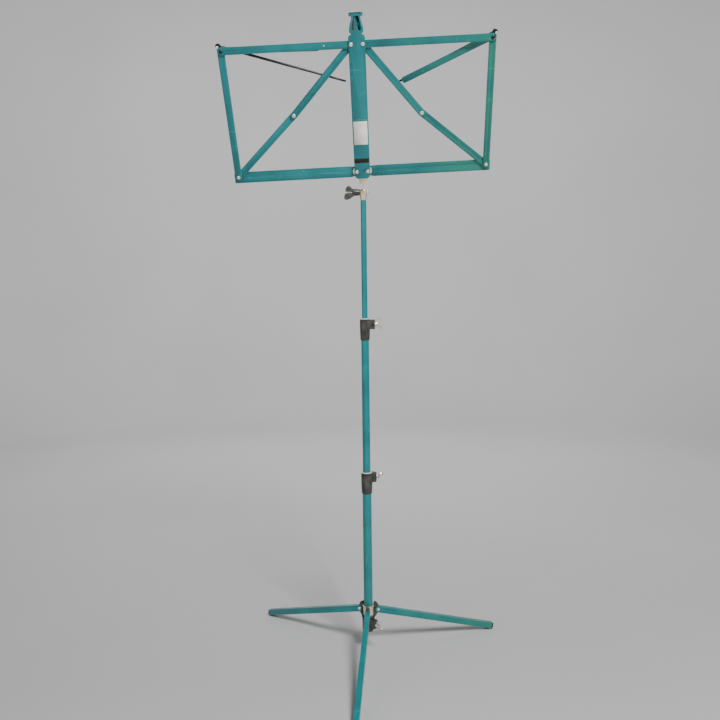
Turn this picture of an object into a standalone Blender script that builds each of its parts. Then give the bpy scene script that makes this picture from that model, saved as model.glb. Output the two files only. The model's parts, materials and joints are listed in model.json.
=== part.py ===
"""Folding music stand: three telescoping tubes on a tripod, with a desk of flat bars that folds up beside its spine.

Metres, +Z up. The sheet of music rests on the +Y side of the desk. Every moving piece has its origin, or its parent
empty, on its joint axis.
"""

import math

import bmesh
import bpy
from mathutils import Matrix, Vector

MM = 0.001
GAP = 0.3 * MM  # clearance between faces that meet

# ---- tubes
LOWER_OD = 17.5 * MM
MIDDLE_OD = 15.0 * MM
UPPER_OD = 11.0 * MM
TUBE_WALL = 0.9 * MM
LOWER_BOTTOM = 40.0 * MM  # end of the lower tube above the floor
LOWER_LENGTH = 298.5 * MM
MIDDLE_RISE = 299.5 * MM  # top of the middle tube above the top of the lower tube
MIDDLE_LENGTH = 345.0 * MM
UPPER_RISE = 242.0 * MM  # top of the upper tube above the top of the middle tube
UPPER_LENGTH = 303.0 * MM
PLUG_HEIGHT = 3.0 * MM

# ---- tube clamps
CLAMP_HEIGHT = 40.0 * MM
CLAMP_FOOT_WALL = 1.2 * MM
CLAMP_TOP_WALL = 1.9 * MM
CLAMP_OVER_TUBE = 24.0 * MM  # length of the clamp that sits on the tube below it
BUSH_RIM = 1.4 * MM
BOSS_REACH = 9.5 * MM  # how far a screw boss stands out from its barrel
BOSS_WIDTH = 12.0 * MM
BOSS_HEIGHT = 19.0 * MM
SCREW_BELOW_TOP = 9.0 * MM
SCREW_DIAMETER = 5.0 * MM
PAD_DIAMETER = 6.0 * MM
PAD_LENGTH = 3.0 * MM
WING_SPAN = 23.0 * MM
WING_REACH = 14.0 * MM
WING_THICK = 3.0 * MM
LOWER_SCREW_TURN = math.radians(32)
UPPER_SCREW_TURN = math.radians(-14)
BASE_SCREW_TURN = math.radians(-48)

# ---- tripod
LEG_PIVOT_HEIGHT = 80.0 * MM
LEG_PIVOT_RADIUS = 19.2 * MM
LEG_LENGTH = 264.0 * MM
LEG_WIDTH = 10.0 * MM
LEG_DEPTH = 12.0 * MM
LEG_WALL = 1.2 * MM
LEG_SLOPE = math.radians(16)
LEG_TURNS = {"front": math.radians(-96.5), "right": math.radians(17.5), "left": math.radians(140.5)}
LEG_PIN_DIAMETER = 3.0 * MM
HORN_ABOVE_PIVOT = 15.0 * MM  # the horn of each crown lug, above the leg pivot
CROWN_BELOW_PIVOT = 14.0 * MM
CROWN_RING = 5.0 * MM  # height of the ring that joins the three brackets
SLEEVE_WALL = 0.9 * MM
SLEEVE_TOP = 90.6 * MM
SLEEVE_BOTTOM = 44.5 * MM
SLEEVE_RIM = 1.3 * MM
SLEEVE_RIM_HEIGHT = 3.2 * MM
BASE_CLAMP_BOTTOM = 42.0 * MM
BASE_CLAMP_HEIGHT = 23.0 * MM
BASE_CLAMP_WALL = 2.0 * MM
BASE_SCREW_BELOW_TOP = 8.5 * MM
BASE_BOSS_HEIGHT = 15.0 * MM
FOOT_INSIDE = 14.0 * MM  # how far the rubber plug reaches into the channel
FOOT_PAST_END = 3.0 * MM
FOOT_SOLE = 2.5 * MM  # depth of the sole below the channel, where it meets the floor

# ---- neck
NECK_ABOVE_TUBE = 15.5 * MM  # tilt bolt above the end of the upper tube
FERRULE_DIAMETER = 14.0 * MM
FERRULE_PLUG = 28.0 * MM
FERRULE_TOP = 6.0 * MM  # ferrule above the tilt bolt
EAR_THICK = 2.4 * MM
EAR_WIDTH = 12.0 * MM
BOLT_DIAMETER = 5.0 * MM
KNOB_BOSS_DIAMETER = 13.0 * MM
KNOB_BOSS_LENGTH = 12.0 * MM
KNOB_REACH = 18.0 * MM
KNOB_SPAN = 26.0 * MM
KNOB_THICK = 9.0 * MM
BOLT_SHOWS = 13.0 * MM  # the bolt end that stands between the two lobes of the knob
NUT_ACROSS = 8.0 * MM
NUT_HEIGHT = 3.6 * MM

# ---- desk
DESK_TILT = math.radians(30.2)
DESK_LEAN = math.radians(2.65)  # the play that lets the right side stand a little higher
RIVETS_ABOVE_BOLT = 40.8 * MM
LINK = 222.0 * MM  # spine pivot spacing, arm, side bar and ledge, all equal so that the wings fold flat
RIVET_HALF_SPACING = 10.2 * MM
SPINE_HALF_WIDTH = 14.5 * MM
HEAD_RISE = 50.0 * MM  # top of the bell-shaped head of the spine above its upper rivets
SHEET = 1.5 * MM  # thickness of every flat bar
BAR_WIDTH = 12.5 * MM
RECESS_LOW = 16.4 * MM
RECESS_HIGH = 25.2 * MM
RECESS_DEPTH = 5.0 * MM
LEDGE_ABOVE = 9.0 * MM
LEDGE_BELOW = 12.0 * MM
LEDGE_END = 8.0 * MM
SHELF_DEPTH = 28.0 * MM
SHELF_LIP = 6.0 * MM
SHELF_START = 21.0 * MM
SHELF_SHORT = 3.0 * MM  # the shelf stops this far inside the corner, so that a folded page arm passes it
LEFT_BRACE_SAG = math.radians(1.5)
RIGHT_BRACE_SAG = math.radians(5)
WASHER_DIAMETER = 15.4 * MM
RIVET_SHANK = 4.0 * MM
RIVET_HEAD = 6.6 * MM
RIVET_DOME = 1.3 * MM
RIVET_TAIL = 0.8 * MM
SWING_BAR_LENGTH = 168.0 * MM
SWING_BAR_WIDTH = 11.0 * MM
LEFT_SWING_REST = math.radians(1.2)
RIGHT_SWING_REST = math.radians(22.8)
LEFT_PAGE_ARM = 227.0 * MM
RIGHT_PAGE_ARM = 192.0 * MM
LEFT_PAGE_REST = math.radians(17.6)
RIGHT_PAGE_REST = math.radians(24.0)
PAGE_ARM_DIAMETER = 5.0 * MM
PAGE_ARM_TIP = 3.6 * MM
POST_OUT = 5.0 * MM
POST_UP = 6.6 * MM
POST_DIAMETER = 4.0 * MM
LABEL_WIDTH = 25.0 * MM
LABEL_LOW = 51.0 * MM
LABEL_HIGH = 93.0 * MM
LABEL_THICK = 0.3 * MM


# ------------------------------------------------------------------ scene

for old in list(bpy.data.objects):
    bpy.data.objects.remove(old, do_unlink=True)

scene = bpy.context.scene
scene.unit_settings.system = "METRIC"

parts = bpy.data.collections.new("music_stand")
scene.collection.children.link(parts)
cutters = bpy.data.collections.new("cutters")
scene.collection.children.link(cutters)
cutters.hide_render = True


def material(name, colour, metallic, roughness):
    made = bpy.data.materials.new(name)
    made.use_nodes = True
    shader = made.node_tree.nodes["Principled BSDF"]
    shader.inputs["Base Color"].default_value = (*colour, 1.0)
    shader.inputs["Metallic"].default_value = metallic
    shader.inputs["Roughness"].default_value = roughness
    return made


PAINT = ((0.02, 0.42, 0.42), 0.0, 0.35)
NICKEL = ((0.72, 0.71, 0.68), 1.0, 0.28)
ZINC = ((0.75, 0.62, 0.36), 1.0, 0.35)
BLACK = ((0.02, 0.02, 0.02), 0.0, 0.45)
RUBBER = ((0.015, 0.015, 0.015), 0.0, 0.8)
NYLON = ((0.8, 0.8, 0.76), 0.0, 0.5)
PAPER = ((0.85, 0.85, 0.83), 0.0, 0.6)


def empty(name, parent, location=(0, 0, 0), rotation=(0, 0, 0)):
    made = bpy.data.objects.new(name, None)
    made.empty_display_size = 0.01
    parts.objects.link(made)
    made.parent = parent
    made.location = location
    made.rotation_euler = rotation
    return made


def place(mesh, name, parent, look, location=(0, 0, 0), rotation=(0, 0, 0)):
    """One named piece under its body, with its own material."""
    made = bpy.data.objects.new(name, mesh)
    parts.objects.link(made)
    made.parent = parent
    made.location = location
    made.rotation_euler = rotation
    mesh.materials.clear()
    mesh.materials.append(material(name + "_material", *look))
    mesh.shade_smooth()
    mesh.set_sharp_from_angle(angle=math.radians(32))
    return made


# ------------------------------------------------------------------ shapes


def to_mesh(bm, name):
    bmesh.ops.remove_doubles(bm, verts=bm.verts, dist=1e-7)
    bmesh.ops.recalc_face_normals(bm, faces=bm.faces)
    mesh = bpy.data.meshes.new(name)
    bm.to_mesh(mesh)
    bm.free()
    return mesh


def arc(cx, cz, radius, start, end, steps):
    """Points on an arc in a flat outline, angles in degrees."""
    points = []
    for step in range(steps + 1):
        angle = math.radians(start + (end - start) * step / steps)
        points.append((cx + radius * math.cos(angle), cz + radius * math.sin(angle)))
    return points


def hole(cx, cz, diameter, steps=14):
    return arc(cx, cz, diameter / 2, 0, 360 * (steps - 1) / steps, steps - 1)


def slab(name, outline, holes, low, high):
    """A flat outline in x, z, with its holes, made solid between two heights along y."""
    curve = bpy.data.curves.new(name, "CURVE")
    curve.dimensions = "2D"
    curve.fill_mode = "BOTH"
    curve.extrude = (high - low) / 2
    for loop in [outline, *holes]:
        spline = curve.splines.new("POLY")
        spline.points.add(len(loop) - 1)
        for point, (x, z) in zip(spline.points, loop):
            point.co = (x, z, 0, 1)
        spline.use_cyclic_u = True
    source = bpy.data.objects.new(name, curve)
    cutters.objects.link(source)
    mesh = bpy.data.meshes.new_from_object(source)
    bpy.data.objects.remove(source, do_unlink=True)
    bm = bmesh.new()
    bm.from_mesh(mesh)
    bpy.data.meshes.remove(mesh)
    stand = Matrix(((1, 0, 0, 0), (0, 0, -1, (low + high) / 2), (0, 1, 0, 0), (0, 0, 0, 1)))
    bmesh.ops.transform(bm, matrix=stand, verts=bm.verts)
    return to_mesh(bm, name)


def turned(name, profile, axis="Z", steps=28):
    """A solid of revolution from (radius, height) points. A profile that leaves the axis clear is a closed ring."""
    bm = bmesh.new()
    verts = [bm.verts.new((radius, 0, height)) for radius, height in profile]
    ring = min(radius for radius, _ in profile) > 0
    count = len(verts)
    edges = [bm.edges.new((verts[i], verts[(i + 1) % count])) for i in range(count if ring else count - 1)]
    bmesh.ops.spin(
        bm,
        geom=[*verts, *edges],
        cent=(0, 0, 0),
        axis=(0, 0, 1),
        angle=math.tau,
        steps=steps,
        use_merge=True,
    )
    if axis == "X":
        bmesh.ops.rotate(bm, cent=(0, 0, 0), matrix=Matrix.Rotation(math.radians(90), 3, "Y"), verts=bm.verts)
    if axis == "Y":
        bmesh.ops.rotate(bm, cent=(0, 0, 0), matrix=Matrix.Rotation(math.radians(-90), 3, "X"), verts=bm.verts)
    return to_mesh(bm, name)


def shifted(mesh, offset=(0, 0, 0), turn=0.0, axis="Z"):
    """Turns a mesh about an axis of its own frame, then shifts it."""
    mesh.transform(Matrix.Translation(Vector(offset)) @ Matrix.Rotation(turn, 4, axis))
    return mesh


def block(name, low, high):
    bm = bmesh.new()
    bmesh.ops.create_cube(bm, size=1.0)
    size = [high[i] - low[i] for i in range(3)]
    middle = [(high[i] + low[i]) / 2 for i in range(3)]
    bmesh.ops.scale(bm, vec=size, verts=bm.verts)
    bmesh.ops.translate(bm, vec=middle, verts=bm.verts)
    return to_mesh(bm, name)


def combine(name, mesh, *steps):
    """Adds, cuts or keeps what is shared with further solids, each given as (operation, mesh)."""
    target = bpy.data.objects.new(name + "_blank", mesh)
    cutters.objects.link(target)
    tools = []
    for number, (operation, other) in enumerate(steps):
        tool = bpy.data.objects.new(f"{name}_tool_{number}", other)
        cutters.objects.link(tool)
        tool.hide_render = True
        tool.display_type = "WIRE"
        change = target.modifiers.new(f"{operation.lower()}_{number}", "BOOLEAN")
        change.operation = operation
        change.solver = "EXACT"
        change.object = tool
        tools.append(tool)
    graph = bpy.context.evaluated_depsgraph_get()
    graph.update()
    result = bpy.data.meshes.new_from_object(target.evaluated_get(graph))
    result.name = name
    for used in [target, *tools]:
        bpy.data.objects.remove(used, do_unlink=True)
    bm = bmesh.new()
    bm.from_mesh(result)
    bmesh.ops.remove_doubles(bm, verts=bm.verts, dist=1e-6)
    bm.to_mesh(result)
    bm.free()
    return result


def bar_outline(length, width, side=1, steps=8):
    """A flat bar with full round ends about two pivots, the first at the origin."""
    half = width / 2
    points = arc(0, 0, half, 90, 270, steps) + arc(length, 0, half, -90, 90, steps)
    return [(side * x, z) for x, z in points][::side]


def rivet(name, front, back, head=RIVET_HEAD, dome=RIVET_DOME, tail=RIVET_HEAD, collar=None):
    """A rivet along y: domed head before the front face, flat tail behind the back face."""
    shank = RIVET_SHANK / 2
    profile = [(0, front - GAP - dome), (head * 0.28, front - GAP - dome * 0.85), (head * 0.43, front - GAP - dome * 0.45)]
    profile += [(head / 2, front - GAP), (shank, front - GAP)]
    if collar:
        wide = RIVET_SHANK * 0.9
        profile += [(shank, collar[0]), (wide, collar[0]), (wide, collar[1]), (shank, collar[1])]
    profile += [(shank, back + GAP), (tail / 2, back + GAP), (tail * 0.46, back + GAP + RIVET_TAIL), (0, back + GAP + RIVET_TAIL)]
    return turned(name, profile, "Y", 14)


def tube(name, outer, low, high):
    inner = outer / 2 - TUBE_WALL
    edge = 0.3 * MM
    profile = [(inner, low), (outer / 2 - edge, low), (outer / 2, low + edge), (outer / 2, high - edge), (outer / 2 - edge, high), (inner, high)]
    return turned(name, profile)


# ------------------------------------------------------------------ clamps, shared by the three screws


def wing_screw(name, start, stem):
    """A plated wing screw along +x. The tip is at start, the wings begin after the stem."""
    radius = SCREW_DIAMETER / 2
    collar = SCREW_DIAMETER * 0.8
    end = start + stem
    shaft = turned(
        name,
        [
            (0, start),
            (radius - 0.5 * MM, start),
            (radius, start + 0.5 * MM),
            (radius, end),
            (collar, end),
            (collar, end + 3 * MM),
            (radius, end + 5 * MM),
            (0, end + 5 * MM),
        ],
        "X",
        20,
    )
    half = WING_SPAN / 2
    outline = [(end + 2 * MM, -3.2 * MM), (end + 4 * MM, -half * 0.72), (end + 7.5 * MM, -half)]
    outline += [(end + WING_REACH - 2 * MM, -half * 0.97), (end + WING_REACH, -half * 0.72)]
    outline += [(end + WING_REACH - 2.2 * MM, -half * 0.36), (end + 8.2 * MM, -1.6 * MM), (end + 8.2 * MM, 1.6 * MM)]
    outline += [(end + WING_REACH - 2.2 * MM, half * 0.36), (end + WING_REACH, half * 0.72)]
    outline += [(end + WING_REACH - 2 * MM, half * 0.97), (end + 7.5 * MM, half)]
    outline += [(end + 4 * MM, half * 0.72), (end + 2 * MM, 3.2 * MM)]
    wings = slab(name + "_wings", outline, [], -WING_THICK / 2, WING_THICK / 2)
    return combine(name, shaft, ("UNION", wings))


def clamp_shell(name, radius_top, radius_foot, low, high, bore, pad_end, screw_height, boss_low, boss_high):
    """A moulded barrel with a screw boss on its +x side, bored for its tube, its screw and any pad in its wall."""
    soft = 1.0 * MM
    barrel = turned(
        name,
        [
            (0, low),
            (radius_foot - soft, low),
            (radius_foot, low + soft),
            (radius_top, boss_low),
            (radius_top, high - soft),
            (radius_top - soft, high),
            (0, high),
        ],
    )
    reach = radius_top + BOSS_REACH
    half = BOSS_WIDTH / 2
    corner = 2.5 * MM
    outline = [(0, -half), (reach - corner, -half)]
    outline += arc(reach - corner, -half + corner, corner, -90, 0, 3)[1:]
    outline += arc(reach - corner, half - corner, corner, 0, 90, 3)
    outline += [(0, half)]
    boss = slab(name + "_boss", outline, [], -boss_high, -boss_low)
    boss.transform(Matrix.Rotation(math.radians(-90), 4, "X"))
    steps = [("UNION", boss)]
    bore_profile = [(0, low - MM), (bore, low - MM), (bore, high + MM), (0, high + MM)]
    steps.append(("DIFFERENCE", turned(name + "_bore", bore_profile, "Z", 32)))
    thread = SCREW_DIAMETER / 2 + GAP
    recess = PAD_DIAMETER / 2 + GAP
    far = reach + 5 * MM
    channel = [(0, 0), (thread, 0), (thread, far), (0, far)]
    if pad_end:
        channel = [(0, 0), (recess, 0), (recess, pad_end), (thread, pad_end), (thread, far), (0, far)]
    steps.append(("DIFFERENCE", shifted(turned(name + "_thread", channel, "X", 16), (0, 0, screw_height))))
    return combine(name, barrel, *steps)


def clamp_set(prefix, parent, tube_below, tube_above, top_of_below, turn, bush_turns):
    """The clamp body at the top of one tube, and the shape of the nylon bush that guides the next tube.

    The pad stands in the clamp wall, or, where the bush turns with the upper tube, wholly inside the bush.
    """
    clamp_top = top_of_below + CLAMP_HEIGHT - CLAMP_OVER_TUBE
    clamp_low = top_of_below - CLAMP_OVER_TUBE
    bore_below = tube_below / 2 + GAP
    foot = bore_below + CLAMP_FOOT_WALL
    top = bore_below + CLAMP_TOP_WALL
    bush_in = tube_above / 2 + GAP
    bush_out = bore_below - GAP
    pad_length = bush_out - bush_in - 0.5 * MM if bush_turns else PAD_LENGTH
    pad_end = None if bush_turns else bush_in + pad_length + GAP
    screw_start = pad_end or bore_below
    screw_height = clamp_top - SCREW_BELOW_TOP
    shell = clamp_shell(
        prefix + "_clamp_body",
        top,
        foot,
        clamp_low,
        clamp_top,
        bore_below,
        pad_end,
        screw_height,
        clamp_top - BOSS_HEIGHT,
        clamp_top - 0.4 * MM,
    )
    place(shell, prefix + "_clamp_body", parent, BLACK, rotation=(0, 0, turn))
    rim = bore_below + CLAMP_TOP_WALL * 0.5
    bush = turned(
        prefix + "_bush",
        [
            (bush_in, top_of_below + GAP),
            (bush_out, top_of_below + GAP),
            (bush_out, clamp_top + GAP),
            (rim, clamp_top + GAP),
            (rim - 0.4 * MM, clamp_top + GAP + BUSH_RIM),
            (bush_in, clamp_top + GAP + BUSH_RIM),
        ],
    )
    pad_radius = PAD_DIAMETER / 2 + GAP
    window = turned(prefix + "_window", [(0, 0), (pad_radius, 0), (pad_radius, 0.03), (0, 0.03)], "X", 16)
    bush = combine(prefix + "_bush", bush, ("DIFFERENCE", shifted(window, (0, 0, screw_height))))
    return bush, screw_height, bush_in, pad_length, screw_start, top + BOSS_REACH


def add_pad(name, parent, inner, length, height, turn):
    """The round pad that the screw presses on the tube."""
    soft = min(0.4 * MM, length / 3)
    pad = turned(
        name,
        [
            (0, inner),
            (PAD_DIAMETER / 2, inner),
            (PAD_DIAMETER / 2, inner + length - soft),
            (PAD_DIAMETER / 2 - soft, inner + length),
            (0, inner + length),
        ],
        "X",
        18,
    )
    return place(pad, name, parent, NYLON, location=(0, 0, height), rotation=(0, 0, turn))


def add_wing_screw(name, parent, start, outside, height, turn, rest):
    """A screw in its own turning body, with the wings clear of the boss."""
    pivot = empty("turn_" + name, parent, (0, 0, height), (0, 0, turn))
    spin = empty("body_" + name, pivot, (0, 0, 0), (rest, 0, 0))
    place(wing_screw(name, start, outside - start + GAP), name, spin, NICKEL)
    return pivot


# ------------------------------------------------------------------ tripod

stand = empty("stand", None)
base = empty("body_base", stand)

sleeve_in = LOWER_OD / 2 + GAP
sleeve_out = sleeve_in + SLEEVE_WALL
sleeve = turned(
    "hub_sleeve",
    [
        (sleeve_in, SLEEVE_BOTTOM),
        (sleeve_out, SLEEVE_BOTTOM),
        (sleeve_out, SLEEVE_TOP - SLEEVE_RIM_HEIGHT),
        (sleeve_out + SLEEVE_RIM * 0.7, SLEEVE_TOP - 2.6 * MM),
        (sleeve_out + SLEEVE_RIM, SLEEVE_TOP - 1.3 * MM),
        (sleeve_out + SLEEVE_RIM * 0.5, SLEEVE_TOP),
        (sleeve_in, SLEEVE_TOP),
    ],
)
base_screw_height = BASE_CLAMP_BOTTOM + BASE_CLAMP_HEIGHT - BASE_SCREW_BELOW_TOP
pad_hole = PAD_DIAMETER / 2 + GAP
sleeve_window = turned("sleeve_window", [(0, 0), (pad_hole, 0), (pad_hole, 0.03), (0, 0.03)], "X", 16)
shifted(sleeve_window, (0, 0, base_screw_height), BASE_SCREW_TURN)
sleeve = combine("hub_sleeve", sleeve, ("DIFFERENCE", sleeve_window))
place(sleeve, "hub_sleeve", base, ZINC)

crown_bore = sleeve_out + GAP
lug_half = LEG_WIDTH / 2 - LEG_WALL - GAP
lug_round = LEG_DEPTH / 2 - LEG_WALL - GAP
crown_low = LEG_PIVOT_HEIGHT - CROWN_BELOW_PIVOT
crown_high = SLEEVE_TOP - SLEEVE_RIM_HEIGHT - GAP - 1.0 * MM
horn_in = sleeve_out + SLEEVE_RIM + GAP + 0.4 * MM
horn_top = LEG_PIVOT_HEIGHT + HORN_ABOVE_PIVOT
ring_out = LEG_PIVOT_RADIUS - LEG_DEPTH / 2 + 0.1 * MM
crown = turned(
    "hub_crown",
    [
        (crown_bore * 0.6, crown_low),
        (ring_out - 0.8 * MM, crown_low),
        (ring_out, crown_low + 0.8 * MM),
        (ring_out, crown_low + CROWN_RING - 0.8 * MM),
        (ring_out - 0.8 * MM, crown_low + CROWN_RING),
        (crown_bore * 0.6, crown_low + CROWN_RING),
    ],
)
crown_steps = []
lug = [(crown_bore * 0.7, crown_low + 0.1 * MM), (ring_out - 0.4 * MM, crown_low + 0.1 * MM)]
lug += arc(LEG_PIVOT_RADIUS, LEG_PIVOT_HEIGHT, lug_round, -70, 78, 9)
lug += [
    (LEG_PIVOT_RADIUS + 0.5 * MM, LEG_PIVOT_HEIGHT + lug_round + 1.5 * MM),
    (LEG_PIVOT_RADIUS + 0.3 * MM, horn_top - 5.5 * MM),
    (LEG_PIVOT_RADIUS - 1.0 * MM, horn_top - 2.0 * MM),
    (LEG_PIVOT_RADIUS - 3.4 * MM, horn_top),
    (horn_in + 1.2 * MM, horn_top - 0.4 * MM),
    (horn_in, horn_top - 2.6 * MM),
    (horn_in, crown_high + 1.0 * MM),
    (horn_in - 0.6 * MM, crown_high),
    (crown_bore * 0.7, crown_high),
]
for turn in LEG_TURNS.values():
    bracket = slab("bracket", lug, [], -lug_half, lug_half)
    bracket.transform(Matrix.Rotation(turn, 4, "Z"))
    crown_steps.append(("UNION", bracket))
bore = turned(
    "crown_bore",
    [(0, crown_low - MM), (crown_bore, crown_low - MM), (crown_bore, crown_high + MM), (0, crown_high + MM)],
    "Z",
    30,
)
crown_steps.append(("DIFFERENCE", bore))
pin_hole = LEG_PIN_DIAMETER / 2 + GAP
for turn in LEG_TURNS.values():
    drill = turned("drill", [(0, -0.02), (pin_hole, -0.02), (pin_hole, 0.02), (0, 0.02)], "Y", 12)
    shifted(drill, (LEG_PIVOT_RADIUS, 0, LEG_PIVOT_HEIGHT))
    drill.transform(Matrix.Rotation(turn, 4, "Z"))
    crown_steps.append(("DIFFERENCE", drill))
place(combine("hub_crown", crown, *crown_steps), "hub_crown", base, BLACK)

clamp_bore = sleeve_out + GAP
clamp_out = clamp_bore + BASE_CLAMP_WALL
base_shell = clamp_shell(
    "base_clamp_body",
    clamp_out,
    clamp_out,
    BASE_CLAMP_BOTTOM,
    BASE_CLAMP_BOTTOM + BASE_CLAMP_HEIGHT,
    clamp_bore,
    sleeve_in + PAD_LENGTH + GAP,
    base_screw_height,
    base_screw_height - BASE_BOSS_HEIGHT / 2,
    base_screw_height + BASE_BOSS_HEIGHT / 2,
)
place(base_shell, "base_clamp_body", base, BLACK, rotation=(0, 0, BASE_SCREW_TURN))
add_pad("base_clamp_pad", base, sleeve_in, PAD_LENGTH, base_screw_height, BASE_SCREW_TURN)
add_wing_screw(
    "base_clamp_screw",
    base,
    sleeve_in + PAD_LENGTH + GAP,
    clamp_out + BOSS_REACH,
    base_screw_height,
    BASE_SCREW_TURN,
    math.radians(20),
)

pin_seat = LEG_WIDTH / 2 + GAP
for side, turn in LEG_TURNS.items():
    yaw = empty(f"yaw_leg_{side}", base, (0, 0, LEG_PIVOT_HEIGHT), (0, 0, turn))
    pin = turned(
        f"leg_pin_{side}",
        [
            (0, -pin_seat - 1.0 * MM),
            (LEG_PIN_DIAMETER * 0.6, -pin_seat - 0.9 * MM),
            (LEG_PIN_DIAMETER * 0.95, -pin_seat),
            (LEG_PIN_DIAMETER / 2, -pin_seat),
            (LEG_PIN_DIAMETER / 2, pin_seat),
            (LEG_PIN_DIAMETER * 0.85, pin_seat),
            (LEG_PIN_DIAMETER * 0.7, pin_seat + 0.8 * MM),
            (0, pin_seat + 0.8 * MM),
        ],
        "Y",
        16,
    )
    place(pin, f"leg_pin_{side}", yaw, NICKEL, location=(LEG_PIVOT_RADIUS, 0, 0))
    leg_body = empty(f"body_leg_{side}", yaw, (LEG_PIVOT_RADIUS, 0, 0), (0, LEG_SLOPE, 0))
    half = LEG_DEPTH / 2
    profile = arc(0, 0, half, 90, 270, 8) + [(LEG_LENGTH, -half), (LEG_LENGTH, half)]
    pin_clear = LEG_PIN_DIAMETER + 2 * GAP
    channel = slab(f"leg_{side}", profile, [hole(0, 0, pin_clear)], -LEG_WIDTH / 2, LEG_WIDTH / 2)
    inner = LEG_WIDTH / 2 - LEG_WALL
    hollow = block("hollow", (-half * 1.2, -inner, -half * 1.2), (LEG_LENGTH * 1.05, inner, half - LEG_WALL))
    mouth = block("mouth", (-half * 1.2, -inner, -half * 1.2), (0.3 * MM, inner, half * 1.2))
    channel = combine(f"leg_{side}", channel, ("DIFFERENCE", hollow), ("DIFFERENCE", mouth))
    place(channel, f"leg_{side}", leg_body, PAINT)
    start = LEG_LENGTH - FOOT_INSIDE
    stop = LEG_LENGTH + FOOT_PAST_END
    rise = math.tan(LEG_SLOPE)
    tread = (LEG_LENGTH - FOOT_INSIDE * 0.22, -half - FOOT_SOLE)
    shape = [(start, -half - 1.0 * MM), tread, (stop - 1.0 * MM, tread[1] + (stop - 1.0 * MM - tread[0]) * rise)]
    shape += [(stop, tread[1] + (stop - tread[0]) * rise + 1.2 * MM)]
    shape += [(stop, half - 1.6 * MM), (stop - 1.6 * MM, half), (start, half)]
    head = slab(f"foot_{side}", shape, [], -LEG_WIDTH / 2, LEG_WIDTH / 2)
    room = block(
        "room",
        (start - MM, -LEG_WIDTH, -half - GAP),
        (LEG_LENGTH + GAP, LEG_WIDTH, half + MM),
    )
    tongue = block(
        "tongue",
        (start + 0.5 * MM, GAP - inner, -half - 0.7 * MM),
        (LEG_LENGTH + 1.3 * MM, inner - GAP, half - LEG_WALL - GAP),
    )
    foot = combine(f"foot_{side}", head, ("DIFFERENCE", room), ("UNION", tongue))
    place(foot, f"foot_{side}", leg_body, RUBBER)

# ------------------------------------------------------------------ tubes

lower_body = empty("body_lower_tube", base)
lower_top = LOWER_BOTTOM + LOWER_LENGTH
place(tube("lower_tube", LOWER_OD, LOWER_BOTTOM, lower_top), "lower_tube", lower_body, PAINT)
plug_fit = LOWER_OD / 2 - TUBE_WALL - GAP
plug = turned(
    "lower_tube_plug",
    [
        (0, LOWER_BOTTOM - GAP - PLUG_HEIGHT * 0.6),
        (LOWER_OD / 2 - 0.8 * MM, LOWER_BOTTOM - GAP - PLUG_HEIGHT * 0.6),
        (LOWER_OD / 2, LOWER_BOTTOM - GAP - PLUG_HEIGHT * 0.3),
        (LOWER_OD / 2, LOWER_BOTTOM - GAP),
        (plug_fit, LOWER_BOTTOM - GAP),
        (plug_fit, LOWER_BOTTOM + PLUG_HEIGHT),
        (0, LOWER_BOTTOM + PLUG_HEIGHT),
    ],
)
place(plug, "lower_tube_plug", lower_body, BLACK)
bush, height, inner, pad_length, tip, boss_end = clamp_set(
    "lower", lower_body, LOWER_OD, MIDDLE_OD, lower_top, LOWER_SCREW_TURN, False
)
place(bush, "lower_bush", lower_body, NYLON, rotation=(0, 0, LOWER_SCREW_TURN))
add_pad("lower_clamp_pad", lower_body, inner, pad_length, height, LOWER_SCREW_TURN)
add_wing_screw("lower_clamp_screw", lower_body, tip, boss_end, height, LOWER_SCREW_TURN, math.radians(48))

middle_body = empty("body_middle_tube", lower_body)
middle_top = lower_top + MIDDLE_RISE
place(tube("middle_tube", MIDDLE_OD, middle_top - MIDDLE_LENGTH, middle_top), "middle_tube", middle_body, PAINT)
bush, height, inner, pad_length, tip, boss_end = clamp_set(
    "upper", middle_body, MIDDLE_OD, UPPER_OD, middle_top, UPPER_SCREW_TURN, True
)
bush_body = empty("body_upper_bush", middle_body)
place(bush, "upper_bush", bush_body, NYLON, rotation=(0, 0, UPPER_SCREW_TURN))
add_pad("upper_clamp_pad", bush_body, inner, pad_length, height, UPPER_SCREW_TURN)
add_wing_screw("upper_clamp_screw", middle_body, tip, boss_end, height, UPPER_SCREW_TURN, math.radians(6))

upper_body = empty("body_upper_tube", bush_body)
upper_top = middle_top + UPPER_RISE
place(tube("upper_tube", UPPER_OD, upper_top - UPPER_LENGTH, upper_top), "upper_tube", upper_body, PAINT)

# ------------------------------------------------------------------ neck

bolt_height = upper_top + NECK_ABOVE_TUBE
fork = FERRULE_DIAMETER / 2
spigot = UPPER_OD / 2 - TUBE_WALL - GAP
shoulder = upper_top + GAP
ferrule = turned(
    "neck_ferrule",
    [
        (0, upper_top - FERRULE_PLUG),
        (spigot, upper_top - FERRULE_PLUG),
        (spigot, shoulder),
        (UPPER_OD / 2 + 0.2 * MM, shoulder),
        (UPPER_OD / 2 + 0.2 * MM, shoulder + 1.2 * MM),
        (fork, bolt_height - 6.5 * MM),
        (fork, bolt_height + FERRULE_TOP * 0.45),
        (fork * 0.82, bolt_height + FERRULE_TOP * 0.85),
        (fork * 0.55, bolt_height + FERRULE_TOP),
        (0, bolt_height + FERRULE_TOP),
    ],
)
slot_half = EAR_THICK / 2 + 2 * GAP
ear_low = EAR_WIDTH / 2 + 1.2 * MM
ear_slot = block("slot", (-slot_half, -0.02, bolt_height - ear_low), (slot_half, 0.02, bolt_height + 0.02))
bolt_clear = BOLT_DIAMETER / 2 + GAP
cross = turned("cross", [(0, -0.02), (bolt_clear, -0.02), (bolt_clear, 0.02), (0, 0.02)], "X", 16)
shifted(cross, (0, 0, bolt_height))
flat = fork - 0.6 * MM
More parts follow.
